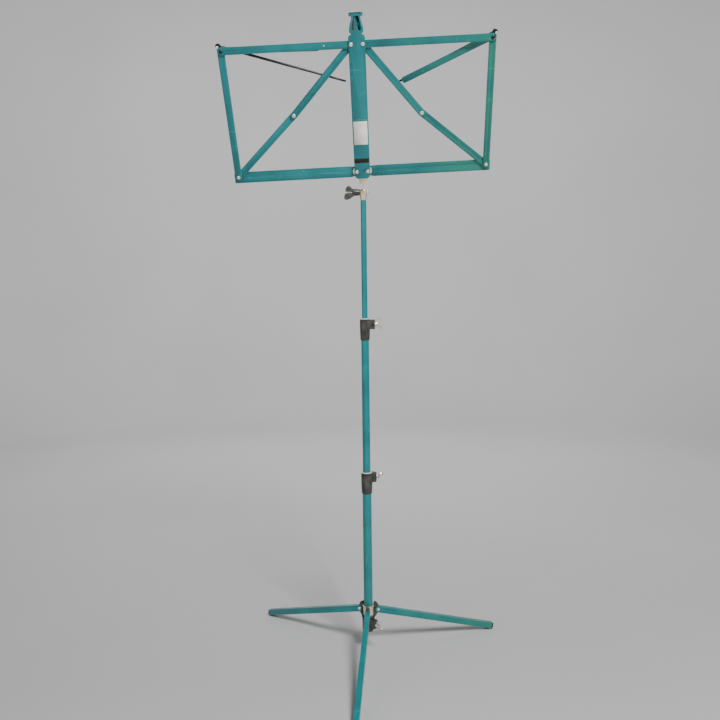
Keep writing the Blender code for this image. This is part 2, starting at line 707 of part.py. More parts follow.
left_flat = block("flat", (-0.02, -0.02, bolt_height - 5.6 * MM), (-flat, 0.02, bolt_height + 0.02))
right_flat = block("flat", (flat, -0.02, bolt_height - 5.6 * MM), (0.02, 0.02, bolt_height + 0.02))
cuts = [("DIFFERENCE", ear_slot), ("DIFFERENCE", cross), ("DIFFERENCE", left_flat), ("DIFFERENCE", right_flat)]
place(combine("neck_ferrule", ferrule, *cuts), "neck_ferrule", upper_body, ZINC)

nut_start = flat + GAP
nut = slab(
    "neck_nut",
    arc(0, 0, NUT_ACROSS / math.sqrt(3), 0, 300, 5),
    [hole(0, 0, BOLT_DIAMETER + 2 * GAP)],
    nut_start,
    nut_start + NUT_HEIGHT,
)
nut.transform(Matrix.Rotation(math.radians(-90), 4, "Z"))
place(nut, "neck_nut", upper_body, NICKEL, location=(0, 0, bolt_height))

neck_pivot = empty("turn_neck_bolt", upper_body, (0, 0, bolt_height))
neck_turn = empty("body_neck_bolt", neck_pivot)
knob_start = -flat - GAP
shank = BOLT_DIAMETER / 2
bolt_tip = nut_start + NUT_HEIGHT + 2.0 * MM
bolt_tail = knob_start - KNOB_BOSS_LENGTH - BOLT_SHOWS
bolt = turned(
    "neck_bolt",
    [
        (0, bolt_tail),
        (shank, bolt_tail),
        (shank, bolt_tip - 0.7 * MM),
        (shank - 0.7 * MM, bolt_tip),
        (0, bolt_tip),
    ],
    "X",
    20,
)
place(bolt, "neck_bolt", neck_turn, NICKEL)
boss_radius = KNOB_BOSS_DIAMETER / 2
knob_end = knob_start - KNOB_BOSS_LENGTH
knob = turned(
    "neck_knob",
    [
        (0, knob_end - 2.0 * MM),
        (boss_radius - 1.5 * MM, knob_end - 2.0 * MM),
        (boss_radius, knob_end),
        (boss_radius - 0.6 * MM, knob_start - 1.0 * MM),
        (boss_radius - 1.6 * MM, knob_start),
        (0, knob_start),
    ],
    "X",
)
half = KNOB_SPAN / 2
far = knob_end - KNOB_REACH
inside = bolt_clear - 0.4 * MM
large_lobe = [
    (knob_end + 1.0 * MM, inside),
    (knob_end + 1.0 * MM, 0.45 * half),
    (knob_end - 3.0 * MM, 0.70 * half),
    (knob_end - 8.0 * MM, 0.93 * half),
    (knob_end - 12.0 * MM, half),
    (far + 2.5 * MM, half),
    (far + 0.7 * MM, 0.90 * half),
    (far, 0.70 * half),
    (far + 0.8 * MM, 0.40 * half),
    (far + 2.4 * MM, inside),
]
small_lobe = [
    (knob_end + 1.0 * MM, inside),
    (knob_end + 1.0 * MM, 0.45 * half),
    (knob_end - 2.5 * MM, 0.56 * half),
    (knob_end - 5.0 * MM, 0.80 * half),
    (knob_end - 8.5 * MM, 0.92 * half),
    (far + 6.5 * MM, 0.88 * half),
    (far + 3.5 * MM, 0.62 * half),
    (far + 2.4 * MM, inside),
]
lower_lobe = slab("lower_lobe", [(x, -z) for x, z in large_lobe], [], -KNOB_THICK / 2, KNOB_THICK / 2)
upper_lobe = slab("upper_lobe", small_lobe[::-1], [], -KNOB_THICK / 2 + 0.4 * MM, KNOB_THICK / 2 - 0.4 * MM)
bolt_room = turned(
    "bolt_room",
    [(0, bolt_tail - 0.02), (bolt_clear, bolt_tail - 0.02), (bolt_clear, 0.01), (0, 0.01)],
    "X",
    20,
)
knob_steps = [("UNION", lower_lobe), ("UNION", upper_lobe), ("DIFFERENCE", bolt_room)]
place(combine("neck_knob", knob, *knob_steps), "neck_knob", neck_turn, BLACK)

# ------------------------------------------------------------------ desk

tilt = empty("tilt_desk", upper_body, (0, 0, bolt_height), (DESK_TILT, 0, 0))
desk = empty("body_desk", tilt, (0, 0, 0), (0, -DESK_LEAN, 0))

# layers along y, counted from the spine towards the sheet of music
pitch = SHEET + GAP


def layer(number):
    low_face = (number - 1) * pitch + GAP
    return low_face, low_face + SHEET


low_rivet = RIVETS_ABOVE_BOLT
top_rivet = RIVETS_ABOVE_BOLT + LINK
bar_hole = RIVET_SHANK + 2 * GAP
g = RIVET_HALF_SPACING

# the spine: a pressed strip with a bell-shaped head, solid where its front outline and its side profile agree
w = SPINE_HALF_WIDTH
head = [
    (w, 11.0),
    (w * 0.97, 14.5),
    (w * 0.84, 17.0),
    (w * 0.70, 18.0),
    (w * 0.60, 19.3),
    (w * 0.70, 20.6),
    (w * 0.82, 21.6),
    (w * 0.84, 28.0),
    (w * 0.79, 33.5),
    (w * 0.66, 40.0),
    (w * 0.55, 46.5),
    (w * 0.53, 50.0),
    (w * 0.78, 51.2),
    (w * 0.83, 53.0),
    (w * 0.84, 56.5),
    (w * 0.70, 57.8),
]
head_unit = HEAD_RISE / 57.8  # the heights above are in 57.8ths of the head
right_side = [(x, top_rivet + z * head_unit) for x, z in head]
spine_low = low_rivet - 13.0 * MM
foot = arc(w - 7.0 * MM, spine_low + 7.0 * MM, 7.0 * MM, -90, 0, 5)
right_side = foot + right_side
outline = right_side + [(-x, z) for x, z in reversed(right_side)]
slots = []
for side in (1, -1):
    wide = 2.7 * MM
    narrow = 0.9 * MM
    drop = arc(side * 6.0 * MM, top_rivet + 28.5 * head_unit, wide, 180, 360, 6)
    drop_end = top_rivet + 51.5 * head_unit
    drop += [(side * 3.1 * MM + narrow, drop_end), (side * 3.1 * MM - narrow, drop_end)]
    slots.append(drop)
rivet_holes = [hole(x, z, bar_hole) for z in (low_rivet, top_rivet) for x in (-g, g)]
front = slab("spine", outline, [*slots, *rivet_holes], -0.01, 0.02)
t = SHEET
r_low = low_rivet + RECESS_LOW
r_high = low_rivet + RECESS_HIGH
spine_top = top_rivet + HEAD_RISE + 2 * MM
back = RECESS_DEPTH
side_profile = [
    (-t, 0),
    (0, 0),
    (0, r_low - t),
    (back, r_low - t),
    (back, r_high + t),
    (0, r_high + t),
    (0, spine_top),
    (-t, spine_top),
    (-t, r_high),
    (back - t, r_high),
    (back - t, r_low),
    (-t, r_low),
]
side = slab("side", side_profile, [], -0.03, 0.03)
side.transform(Matrix.Rotation(math.radians(90), 4, "Z"))
place(combine("spine", front, ("INTERSECT", side)), "spine", desk, PAINT)

label = slab(
    "label",
    [
        (-LABEL_WIDTH / 2, low_rivet + LABEL_LOW),
        (LABEL_WIDTH / 2, low_rivet + LABEL_LOW),
        (LABEL_WIDTH / 2, low_rivet + LABEL_HIGH),
        (-LABEL_WIDTH / 2, low_rivet + LABEL_HIGH),
    ],
    [],
    -SHEET - 0.1 * MM - LABEL_THICK,
    -SHEET - 0.1 * MM,
)
place(label, "label", desk, PAPER)

clip_top = top_rivet + HEAD_RISE + GAP
clip_low = clip_top - 10.0 * MM
clip_half = 6.6 * MM
clip_face = GAP
clip_plate = block("top_clip", (-clip_half, clip_face, clip_low), (clip_half, clip_face + 1.0 * MM, clip_top + 2.6 * MM))
clip_lip = block("lip", (-9.0 * MM, -2.6 * MM, clip_top), (9.0 * MM, clip_face + 1.0 * MM, clip_top + 2.6 * MM))
clip_notch = block("notch", (-2.0 * MM, -0.01, clip_top + 1.1 * MM), (2.0 * MM, 0.01, clip_top + 0.01))
clip = combine("top_clip", clip_plate, ("UNION", clip_lip), ("DIFFERENCE", clip_notch))
place(clip, "top_clip", desk, NICKEL)

# the tilt bracket: a head plate behind the spine, a neck that narrows, and an ear that turns on the bolt
plate_face, plate_back = layer(1)
b = w - 1.0 * MM
head_plate = [
    (-6.5 * MM, low_rivet - 23.3 * MM),
    (6.5 * MM, low_rivet - 23.3 * MM),
    (6.5 * MM, low_rivet - 17.0 * MM),
    (b, low_rivet - 9.0 * MM),
    (b, low_rivet + 12.0 * MM),
    (-b, low_rivet + 12.0 * MM),
    (-b, low_rivet - 9.0 * MM),
    (-6.5 * MM, low_rivet - 17.0 * MM),
]
bracket = slab(
    "tilt_bracket",
    head_plate,
    [hole(-g, low_rivet, bar_hole), hole(g, low_rivet, bar_hole)],
    plate_face,
    plate_back,
)
ear_half = EAR_WIDTH / 2
ear_top = low_rivet - 18.0 * MM
ear_outline = arc(0, 0, ear_half, 180, 360, 8) + [(ear_half, ear_top), (-ear_half, ear_top)]
ear = slab("ear", ear_outline, [hole(0, 0, BOLT_DIAMETER + 2 * GAP)], -EAR_THICK / 2, EAR_THICK / 2)
ear.transform(Matrix.Rotation(math.radians(90), 4, "Z"))
place(combine("tilt_bracket", bracket, ("UNION", ear)), "tilt_bracket", desk, ZINC)

arm_face, arm_back = layer(1)
side_face, side_back = layer(2)
brace_face, brace_back = layer(3)
ledge_face, ledge_back = layer(4)
swing_face, swing_back = layer(5)
tab_face = swing_back + GAP
tab_back = tab_face + 1.2 * MM
eye_face = tab_back + GAP
eye_back = eye_face + PAGE_ARM_DIAMETER * 0.9
washer_back = brace_back

for name, s, sag, swing_rest, page_rest, page_length in (
    ("left", -1, LEFT_BRACE_SAG, LEFT_SWING_REST, LEFT_PAGE_REST, LEFT_PAGE_ARM),
    ("right", 1, RIGHT_BRACE_SAG, RIGHT_SWING_REST, RIGHT_PAGE_REST, RIGHT_PAGE_ARM),
):
    bar = bar_outline(LINK, BAR_WIDTH, s)
    ends = [hole(0, 0, bar_hole), hole(s * LINK, 0, bar_hole)]

    top_mesh = rivet(f"{name}_top_rivet", -SHEET, side_back)
    place(top_mesh, f"{name}_top_rivet", desk, NICKEL, location=(s * g, 0, top_rivet))
    low_mesh = rivet(f"{name}_ledge_rivet", -SHEET, ledge_back)
    place(low_mesh, f"{name}_ledge_rivet", desk, NICKEL, location=(s * g, 0, low_rivet))
    washer = turned(
        f"{name}_ledge_washer",
        [
            (bar_hole / 2, side_face),
            (WASHER_DIAMETER / 2, side_face),
            (WASHER_DIAMETER / 2, washer_back),
            (bar_hole / 2, washer_back),
        ],
        "Y",
        24,
    )
    place(washer, f"{name}_ledge_washer", desk, NICKEL, location=(s * g, 0, low_rivet))

    arm_body = empty(f"body_{name}_arm", desk, (s * g, 0, top_rivet))
    place(slab(f"{name}_arm", bar, ends, arm_face, arm_back), f"{name}_arm", arm_body, PAINT)

    corner = rivet(
        f"{name}_corner_clip",
        arm_face,
        tab_face + 0.2 * MM,
        collar=(side_back + GAP, swing_face - GAP),
    )
    tab_outline = [
        (-5.0 * MM, -4.0 * MM),
        (3.5 * MM, -4.5 * MM),
        (POST_OUT + 4.0 * MM, POST_UP - 2.0 * MM),
        (POST_OUT + 4.0 * MM, POST_UP + 3.0 * MM),
        (POST_OUT + 1.0 * MM, POST_UP + 4.4 * MM),
        (POST_OUT - 3.0 * MM, POST_UP + 3.4 * MM),
        (-5.0 * MM, 2.0 * MM),
    ]
    tab = slab("tab", [(s * x, z) for x, z in tab_outline][::s], [], tab_face, tab_back)
    post_r = POST_DIAMETER / 2
    post = turned(
        "post",
        [
            (0, tab_face + 0.3 * MM),
            (post_r, tab_face + 0.3 * MM),
            (post_r, eye_back + GAP),
            (post_r + 1.4 * MM, eye_back + GAP),
            (post_r + 1.0 * MM, eye_back + GAP + 1.2 * MM),
            (0, eye_back + GAP + 1.6 * MM),
        ],
        "Y",
        16,
    )
    shifted(post, (s * POST_OUT, 0, POST_UP))
    corner = combine(f"{name}_corner_clip", corner, ("UNION", tab), ("UNION", post))
    place(corner, f"{name}_corner_clip", arm_body, NICKEL, location=(s * LINK, 0, 0))

    swing_pivot = empty(f"turn_{name}_swing_bar", arm_body, (s * LINK, 0, 0))
    swing_body = empty(f"body_{name}_swing_bar", swing_pivot, (0, 0, 0), (0, -s * swing_rest, 0))
    half = SWING_BAR_WIDTH / 2
    outline = arc(0, 0, half, -90, 90, 8) + [(-SWING_BAR_LENGTH + 2.5 * MM, half), (-SWING_BAR_LENGTH, half - 2.5 * MM)]
    outline += [(-SWING_BAR_LENGTH, -half + 2.5 * MM), (-SWING_BAR_LENGTH + 2.5 * MM, -half)]
    outline = [(s * x, z) for x, z in outline][::s]
    swing = slab(f"{name}_swing_bar", outline, [hole(0, 0, bar_hole)], swing_face, swing_back)
    place(swing, f"{name}_swing_bar", swing_body, PAINT)

    page_pivot = empty(f"turn_{name}_page_arm", arm_body, (s * (LINK + POST_OUT), 0, POST_UP))
    page_body = empty(f"body_{name}_page_arm", page_pivot, (0, 0, 0), (0, -s * page_rest, 0))
    eye_in = post_r + GAP
    eye_out = eye_in + 1.9 * MM
    eye = turned(
        f"{name}_page_arm",
        [
            (eye_in, eye_face),
            (eye_out - 0.5 * MM, eye_face),
            (eye_out, eye_face + 0.5 * MM),
            (eye_out, eye_back - 0.5 * MM),
            (eye_out - 0.5 * MM, eye_back),
            (eye_in, eye_back),
        ],
        "Y",
        20,
    )
    rod_start = eye_in + 0.6 * MM
    rod = turned(
        "rod",
        [
            (0, rod_start),
            (PAGE_ARM_DIAMETER * 0.42, rod_start),
            (PAGE_ARM_DIAMETER / 2 * 0.98, rod_start + 6 * MM),
            (PAGE_ARM_TIP / 2, page_length - 3.0 * MM),
            (PAGE_ARM_TIP / 2 * 0.6, page_length - 0.6 * MM),
            (0, page_length),
        ],
        "X",
        14,
    )
    rod.transform(Matrix.Translation((0, (eye_face + eye_back) / 2, 0)) @ Matrix.Scale(-s, 4, Vector((1, 0, 0))))
    if s > 0:
        rod.flip_normals()
    page = combine(f"{name}_page_arm", eye, ("UNION", rod))
    place(page, f"{name}_page_arm", page_body, BLACK)

    side_body = empty(f"body_{name}_side_bar", arm_body, (s * LINK, 0, 0))
    down_bar = bar_outline(LINK, BAR_WIDTH)
    down_bar = [(z, -x) for x, z in down_bar]
    down_holes = [hole(0, 0, bar_hole), hole(0, -LINK, bar_hole)]
    side_mesh = slab(f"{name}_side_bar", down_bar, down_holes, side_face, side_back)
    place(side_mesh, f"{name}_side_bar", side_body, PAINT)
    low_corner = rivet(f"{name}_lower_rivet", side_face, ledge_back)
    place(low_corner, f"{name}_lower_rivet", side_body, NICKEL, location=(0, 0, -LINK))

    # the two-link brace: straight, or with a little sag, between the top rivet and the lower corner
    reach = LINK / math.sqrt(2)
    link = reach / math.cos(sag)
    upper_pivot = empty(f"turn_{name}_brace_upper", desk, (s * g, 0, top_rivet))
    upper_brace = empty(f"body_{name}_brace_upper", upper_pivot, (0, 0, 0), (0, s * (math.radians(45) + sag), 0))
    brace_bar = bar_outline(link, BAR_WIDTH, s)
    brace_holes = [hole(0, 0, bar_hole), hole(s * link, 0, bar_hole)]
    upper_mesh = slab(f"{name}_brace_upper", brace_bar, brace_holes, side_face, side_back)
    place(upper_mesh, f"{name}_brace_upper", upper_brace, PAINT)
    knee_front = side_face - GAP
    knee = turned(
        f"{name}_brace_rivet",
        [
            (0, knee_front - 1.0 * MM),
            (RIVET_HEAD * 0.3, knee_front - 0.8 * MM),
            (RIVET_HEAD / 2, knee_front),
            (RIVET_SHANK / 2, knee_front),
            (RIVET_SHANK / 2, side_back + GAP / 2),
            (0, side_back + GAP / 2),
        ],
        "Y",
        18,
    )
    place(knee, f"{name}_brace_rivet", upper_brace, NICKEL, location=(s * link, 0, 0))

    lower_pivot = empty(f"turn_{name}_brace_lower", side_body, (0, 0, -LINK))
    lower_brace = empty(f"body_{name}_brace_lower", lower_pivot, (0, 0, 0), (0, s * (math.radians(45) - sag), 0))
    brace_bar = bar_outline(link, BAR_WIDTH, -s)
    brace_holes = [hole(0, 0, bar_hole), hole(-s * link, 0, bar_hole)]
    lower_mesh = slab(f"{name}_brace_lower", brace_bar, brace_holes, brace_face, brace_back)
    place(lower_mesh, f"{name}_brace_lower", lower_brace, PAINT)

    # the ledge: an upright web with a shelf along its lower edge and a lip that stops the pages
    ledge_body = empty(f"body_{name}_ledge", desk, (s * g, 0, low_rivet))
    beyond = 4.0 * MM
    end_x = LINK + LEDGE_END
    web = arc(0, 0, LEDGE_END, 110, 250, 6)
    web += [(SHELF_START, -LEDGE_BELOW - beyond), (end_x - 1.0 * MM, -LEDGE_BELOW - beyond)]
    web += [(end_x, -LEDGE_BELOW + 2.0 * MM), (end_x, LEDGE_ABOVE - 3.0 * MM)]
    web += [(end_x - 3.0 * MM, LEDGE_ABOVE), (SHELF_START * 0.8, LEDGE_ABOVE)]
    web = [(s * x, z) for x, z in web][::s]
    shelf_end = LINK - SHELF_SHORT
    web_mesh = slab(f"{name}_ledge", web, [hole(0, 0, bar_hole), hole(s * LINK, 0, bar_hole)], -0.02, 0.08)
    far_y = ledge_face + SHELF_DEPTH
    section = [
        (ledge_face, -LEDGE_BELOW),
        (far_y, -LEDGE_BELOW),
        (far_y, -LEDGE_BELOW + SHELF_LIP),
        (far_y - SHEET, -LEDGE_BELOW + SHELF_LIP),
        (far_y - SHEET, -LEDGE_BELOW + SHEET),
        (ledge_back, -LEDGE_BELOW + SHEET),
        (ledge_back, LEDGE_ABOVE + beyond),
        (ledge_face, LEDGE_ABOVE + beyond),
    ]
    section = slab("section", section, [], -LINK * 1.5, LINK * 1.5)
    section.transform(Matrix.Rotation(math.radians(90), 4, "Z"))
    near, far = sorted((s * shelf_end, s * (LINK + 0.05)))
    short = block("short", (near, ledge_back, -LEDGE_BELOW * 2), (far, far_y + beyond, LEDGE_ABOVE * 2))
    ledge = combine(f"{name}_ledge", web_mesh, ("INTERSECT", section), ("DIFFERENCE", short))
    place(ledge, f"{name}_ledge", ledge_body, PAINT)

# ------------------------------------------------------------------ origin at the middle of the footprint, on the floor

bpy.context.view_layer.update()
corners = []
for piece in parts.objects:
    if piece.type == "MESH":
        corners += [piece.matrix_world @ vert.co for vert in piece.data.vertices]
lows = [min(corner[i] for corner in corners) for i in range(3)]
highs = [max(corner[i] for corner in corners) for i in range(3)]
stand.location = (-(lows[0] + highs[0]) / 2, -(lows[1] + highs[1]) / 2, -lows[2])
bpy.context.view_layer.update()
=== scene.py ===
"""A folding music stand, opened for use and seen from behind, in a plain studio."""

import json
import math

import bmesh
import bpy
from mathutils import Matrix, Vector


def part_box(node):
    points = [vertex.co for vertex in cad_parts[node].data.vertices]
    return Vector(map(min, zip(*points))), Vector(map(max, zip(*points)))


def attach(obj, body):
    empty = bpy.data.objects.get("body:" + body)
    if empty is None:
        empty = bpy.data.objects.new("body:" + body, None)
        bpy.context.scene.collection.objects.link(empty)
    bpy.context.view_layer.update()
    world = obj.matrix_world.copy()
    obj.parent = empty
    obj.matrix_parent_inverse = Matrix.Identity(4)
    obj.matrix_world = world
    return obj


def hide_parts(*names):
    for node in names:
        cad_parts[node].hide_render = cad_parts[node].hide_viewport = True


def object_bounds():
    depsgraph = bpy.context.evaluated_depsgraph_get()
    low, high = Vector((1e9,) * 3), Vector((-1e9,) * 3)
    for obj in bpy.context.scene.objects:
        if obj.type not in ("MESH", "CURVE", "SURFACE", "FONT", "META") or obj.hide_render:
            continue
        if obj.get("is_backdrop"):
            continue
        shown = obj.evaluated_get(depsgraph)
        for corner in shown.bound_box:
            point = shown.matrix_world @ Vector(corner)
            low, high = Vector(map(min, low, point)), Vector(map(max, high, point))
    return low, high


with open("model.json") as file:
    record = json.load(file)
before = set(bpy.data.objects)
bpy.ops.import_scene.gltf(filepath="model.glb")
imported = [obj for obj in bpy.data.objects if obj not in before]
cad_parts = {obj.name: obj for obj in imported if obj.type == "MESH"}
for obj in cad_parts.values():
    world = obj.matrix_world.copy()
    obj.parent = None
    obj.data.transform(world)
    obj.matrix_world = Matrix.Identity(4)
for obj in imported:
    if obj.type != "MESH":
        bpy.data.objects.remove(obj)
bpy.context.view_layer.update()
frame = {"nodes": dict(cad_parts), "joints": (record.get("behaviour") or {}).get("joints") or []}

MM = 0.001
nodes = frame["nodes"]
joints = {joint["name"]: joint for joint in frame["joints"]}

# ---------------------------------------------------------------- hub sleeve
# A short steel tube, zinc plated and passivated yellow, with a rolled rim at its top.
# The three legs hang on it and it slides on the lower tube. Its clamp window is hidden in the barrel.


def new_finish(name, metallic=0.0):
    """A node material, with its shader and the piece's own coordinates."""
    finish = bpy.data.materials.new(name)
    finish.use_nodes = True
    tree = finish.node_tree
    shader = tree.nodes["Principled BSDF"]
    shader.inputs["Metallic"].default_value = metallic
    place = tree.nodes.new("ShaderNodeTexCoord").outputs["Object"]
    return finish, tree, shader, place


def grain(tree, place, scale, detail=4.0, stretch=(1, 1, 1), turn=(0, 0, 0), shift=(0, 0, 0)):
    """A noise of so many grains to the metre, which may be drawn out along one way."""
    spread = tree.nodes.new("ShaderNodeMapping")
    spread.inputs["Location"].default_value = shift
    spread.inputs["Rotation"].default_value = turn
    spread.inputs["Scale"].default_value = stretch
    tree.links.new(place, spread.inputs["Vector"])
    noise = tree.nodes.new("ShaderNodeTexNoise")
    noise.inputs["Scale"].default_value = scale
    noise.inputs["Detail"].default_value = detail
    tree.links.new(spread.outputs["Vector"], noise.inputs["Vector"])
    return noise.outputs["Fac"]


def between(tree, value, low, high, first=0.0, last=1.0):
    """Stretches the part of a pattern from low to high over first to last."""
    stretch = tree.nodes.new("ShaderNodeMapRange")
    for socket, amount in (("From Min", low), ("From Max", high), ("To Min", first), ("To Max", last)):
        stretch.inputs[socket].default_value = amount
    tree.links.new(value, stretch.inputs["Value"])
    return stretch.outputs["Result"]


def both(tree, first, second, way="MULTIPLY"):
    """Two patterns put together by arithmetic."""
    sums = tree.nodes.new("ShaderNodeMath")
    sums.operation = way
    sums.use_clamp = True
    tree.links.new(first, sums.inputs[0])
    tree.links.new(second, sums.inputs[1])
    return sums.outputs["Value"]


def colours(tree, amount, first, second):
    """Goes from the first colour to the second with the pattern. Either may be another pattern's colour."""
    mix = tree.nodes.new("ShaderNodeMix")
    mix.data_type = "RGBA"
    tree.links.new(amount, mix.inputs[0])
    for socket, colour in ((mix.inputs[6], first), (mix.inputs[7], second)):
        if isinstance(colour, tuple):
            socket.default_value = (*colour, 1)
        else:
            tree.links.new(colour, socket)
    return mix.outputs[2]


def near_edge(tree, width):
    """Is 1 on the outer edges of a piece, where handling rubs it and where the nickel gets its painted shade,
    and 0 on its faces.
    """
    rounded = tree.nodes.new("ShaderNodeBevel")
    rounded.samples = 4
    rounded.inputs["Radius"].default_value = width
    true = tree.nodes.new("ShaderNodeNewGeometry")
    compare = tree.nodes.new("ShaderNodeVectorMath")
    compare.operation = "DOT_PRODUCT"
    tree.links.new(rounded.outputs["Normal"], compare.inputs[0])
    tree.links.new(true.outputs["Normal"], compare.inputs[1])
    return between(tree, compare.outputs["Value"], 0.995, 0.90)


def relief(tree, shader, height, depth, strength=1.0):
    """Raises the surface by a pattern, to so many metres."""
    bump = tree.nodes.new("ShaderNodeBump")
    bump.inputs["Distance"].default_value = depth
    bump.inputs["Strength"].default_value = strength
    tree.links.new(height, bump.inputs["Height"])
    tree.links.new(bump.outputs["Normal"], shader.inputs["Normal"])


def yellow_zinc():
    """Zinc plate passivated yellow: straw and olive clouds over silver, dull where it is old."""
    finish, tree, shader, place = new_finish("yellow_zinc", metallic=0.75)
    cloud = grain(tree, place, 120, 3)
    spots = grain(tree, place, 700, 5)
    colour = colours(tree, between(tree, cloud, 0.38, 0.62), (0.88, 0.84, 0.70), (0.84, 0.68, 0.36))
    colour = colours(tree, between(tree, spots, 0.60, 0.72), colour, (0.34, 0.27, 0.17))
    tree.links.new(colour, shader.inputs["Base Color"])
    tree.links.new(between(tree, spots, 0.3, 0.7, 0.24, 0.46), shader.inputs["Roughness"])
    relief(tree, shader, spots, 0.03 * MM, 0.5)
    return finish


def set_down(shape, name, finish, body, *stands_for):
    """Makes the worked shape a piece that rides on its body and stands for its plain solids."""
    mesh = bpy.data.meshes.new(name)
    shape.to_mesh(mesh)
    shape.free()
    mesh.polygons.foreach_set("use_smooth", [True] * len(mesh.polygons))
    mesh.materials.append(finish)
    piece = bpy.data.objects.new(name, mesh)
    bpy.context.scene.collection.objects.link(piece)
    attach(piece, body)
    if stands_for:
        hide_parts(*stands_for)
    return piece


def spin_up(shape, points, axis, steps, ring=False, weld=0.002 * MM):
    """Spins a line of points about an axis through the origin into a skin that faces outwards."""
    corners = [shape.verts.new(point) for point in points]
    sides = [shape.edges.new(pair) for pair in zip(corners, corners[1:])]
    if ring:
        sides.append(shape.edges.new((corners[-1], corners[0])))
    profile = corners + sides
    bmesh.ops.spin(
        shape, geom=profile, cent=(0, 0, 0), axis=axis, angle=math.tau, steps=steps, use_merge=True
    )
    bmesh.ops.remove_doubles(shape, verts=shape.verts, dist=weld)
    bmesh.ops.recalc_face_normals(shape, faces=shape.faces)


def turned(name, outline, origin, direction, finish, body, *stands_for, ring=False, steps=64, sharp=35):
    """A lathe-turned piece. The outline is (radius, distance along the axis) pairs, closed for a ring."""
    shape = bmesh.new()
    spin_up(shape, [(radius, 0, distance) for radius, distance in outline], (0, 0, 1), steps, ring)
    stand = Vector(direction).to_track_quat("Z", "Y").to_matrix().to_4x4()
    bmesh.ops.transform(shape, matrix=Matrix.Translation(origin) @ stand, verts=shape.verts)
    piece = set_down(shape, name, finish, body, *stands_for)
    piece.data.set_sharp_from_angle(angle=math.radians(sharp))
    return piece


ZINC = yellow_zinc()
sleeve_low, sleeve_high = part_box("hub_sleeve")
AXIS = Vector(((sleeve_low.x + sleeve_high.x) / 2, (sleeve_low.y + sleeve_high.y) / 2, 0))
UP = Vector((0, 0, 1))
sleeve_bore = 9.05 * MM
sleeve_outside = 9.95 * MM  # the wall is 0.9 mm
sleeve_rim = (sleeve_high.x - sleeve_low.x) / 2
turned(
    "sleeve",
    [
        (sleeve_bore, sleeve_low.z),
        (sleeve_outside - 0.3 * MM, sleeve_low.z),
        (sleeve_outside, sleeve_low.z + 0.4 * MM),
        (sleeve_outside, sleeve_high.z - 3.1 * MM),
        (sleeve_outside + 0.5 * MM, sleeve_high.z - 2.8 * MM),
        (sleeve_rim - 0.2 * MM, sleeve_high.z - 2.2 * MM),
        (sleeve_rim, sleeve_high.z - 1.4 * MM),
        (sleeve_rim - 0.2 * MM, sleeve_high.z - 0.6 * MM),
        (sleeve_outside + 0.5 * MM, sleeve_high.z - 0.1 * MM),
        (sleeve_bore + 0.6 * MM, sleeve_high.z),
        (sleeve_bore, sleeve_high.z - 0.5 * MM),
    ],
    AXIS, UP, ZINC, "base", "hub_sleeve", ring=True, steps=96,
)

# ---------------------------------------------------------------- crown
# The moulded bracket that holds the three legs, in glass-filled black nylon, pressed on the sleeve.
# Each leg straddles one of its lugs. The corners are soft and the faces carry a fine spark texture.


def from_solid(node, name, rounding, finish, body, segments=2, corner=35):
    """The plain solid as one closed mesh, with its edges rounded by so much."""
    shape = bmesh.new()
    shape.from_mesh(nodes[node].data)
    bmesh.ops.remove_doubles(shape, verts=shape.verts, dist=0.01 * MM)
    bmesh.ops.dissolve_limit(shape, angle_limit=math.radians(0.6), verts=shape.verts, edges=shape.edges)
    piece = set_down(shape, name, finish, body, node)
    if rounding:
        edges = piece.modifiers.new("Rounded edges", "BEVEL")
        edges.width = rounding
        edges.segments = segments
        edges.limit_method = "ANGLE"
        edges.angle_limit = math.radians(corner)
        edges.harden_normals = True
        edges.miter_outer = "MITER_ARC"
    else:
        piece.data.set_sharp_from_angle(angle=math.radians(corner))
    return piece


def black_nylon():
    """Moulded black nylon: spark texture, greyer where it is rubbed, dust in the corners."""
    finish, tree, shader, place = new_finish("black_nylon")
    spark = grain(tree, place, 2600, 2)
    dust = grain(tree, place, 90, 4, shift=(3, 1, 4))
    colour = colours(tree, between(tree, dust, 0.35, 0.70), (0.022, 0.021, 0.019), (0.070, 0.066, 0.058))
    colour = colours(tree, near_edge(tree, 0.5 * MM), colour, (0.11, 0.105, 0.095))
    tree.links.new(colour, shader.inputs["Base Color"])
    tree.links.new(between(tree, dust, 0.35, 0.7, 0.34, 0.58), shader.inputs["Roughness"])
    relief(tree, shader, spark, 0.05 * MM, 0.6)
    return finish


BLACK = black_nylon()
from_solid("hub_crown", "crown", 0.5 * MM, BLACK, "base", segments=3)
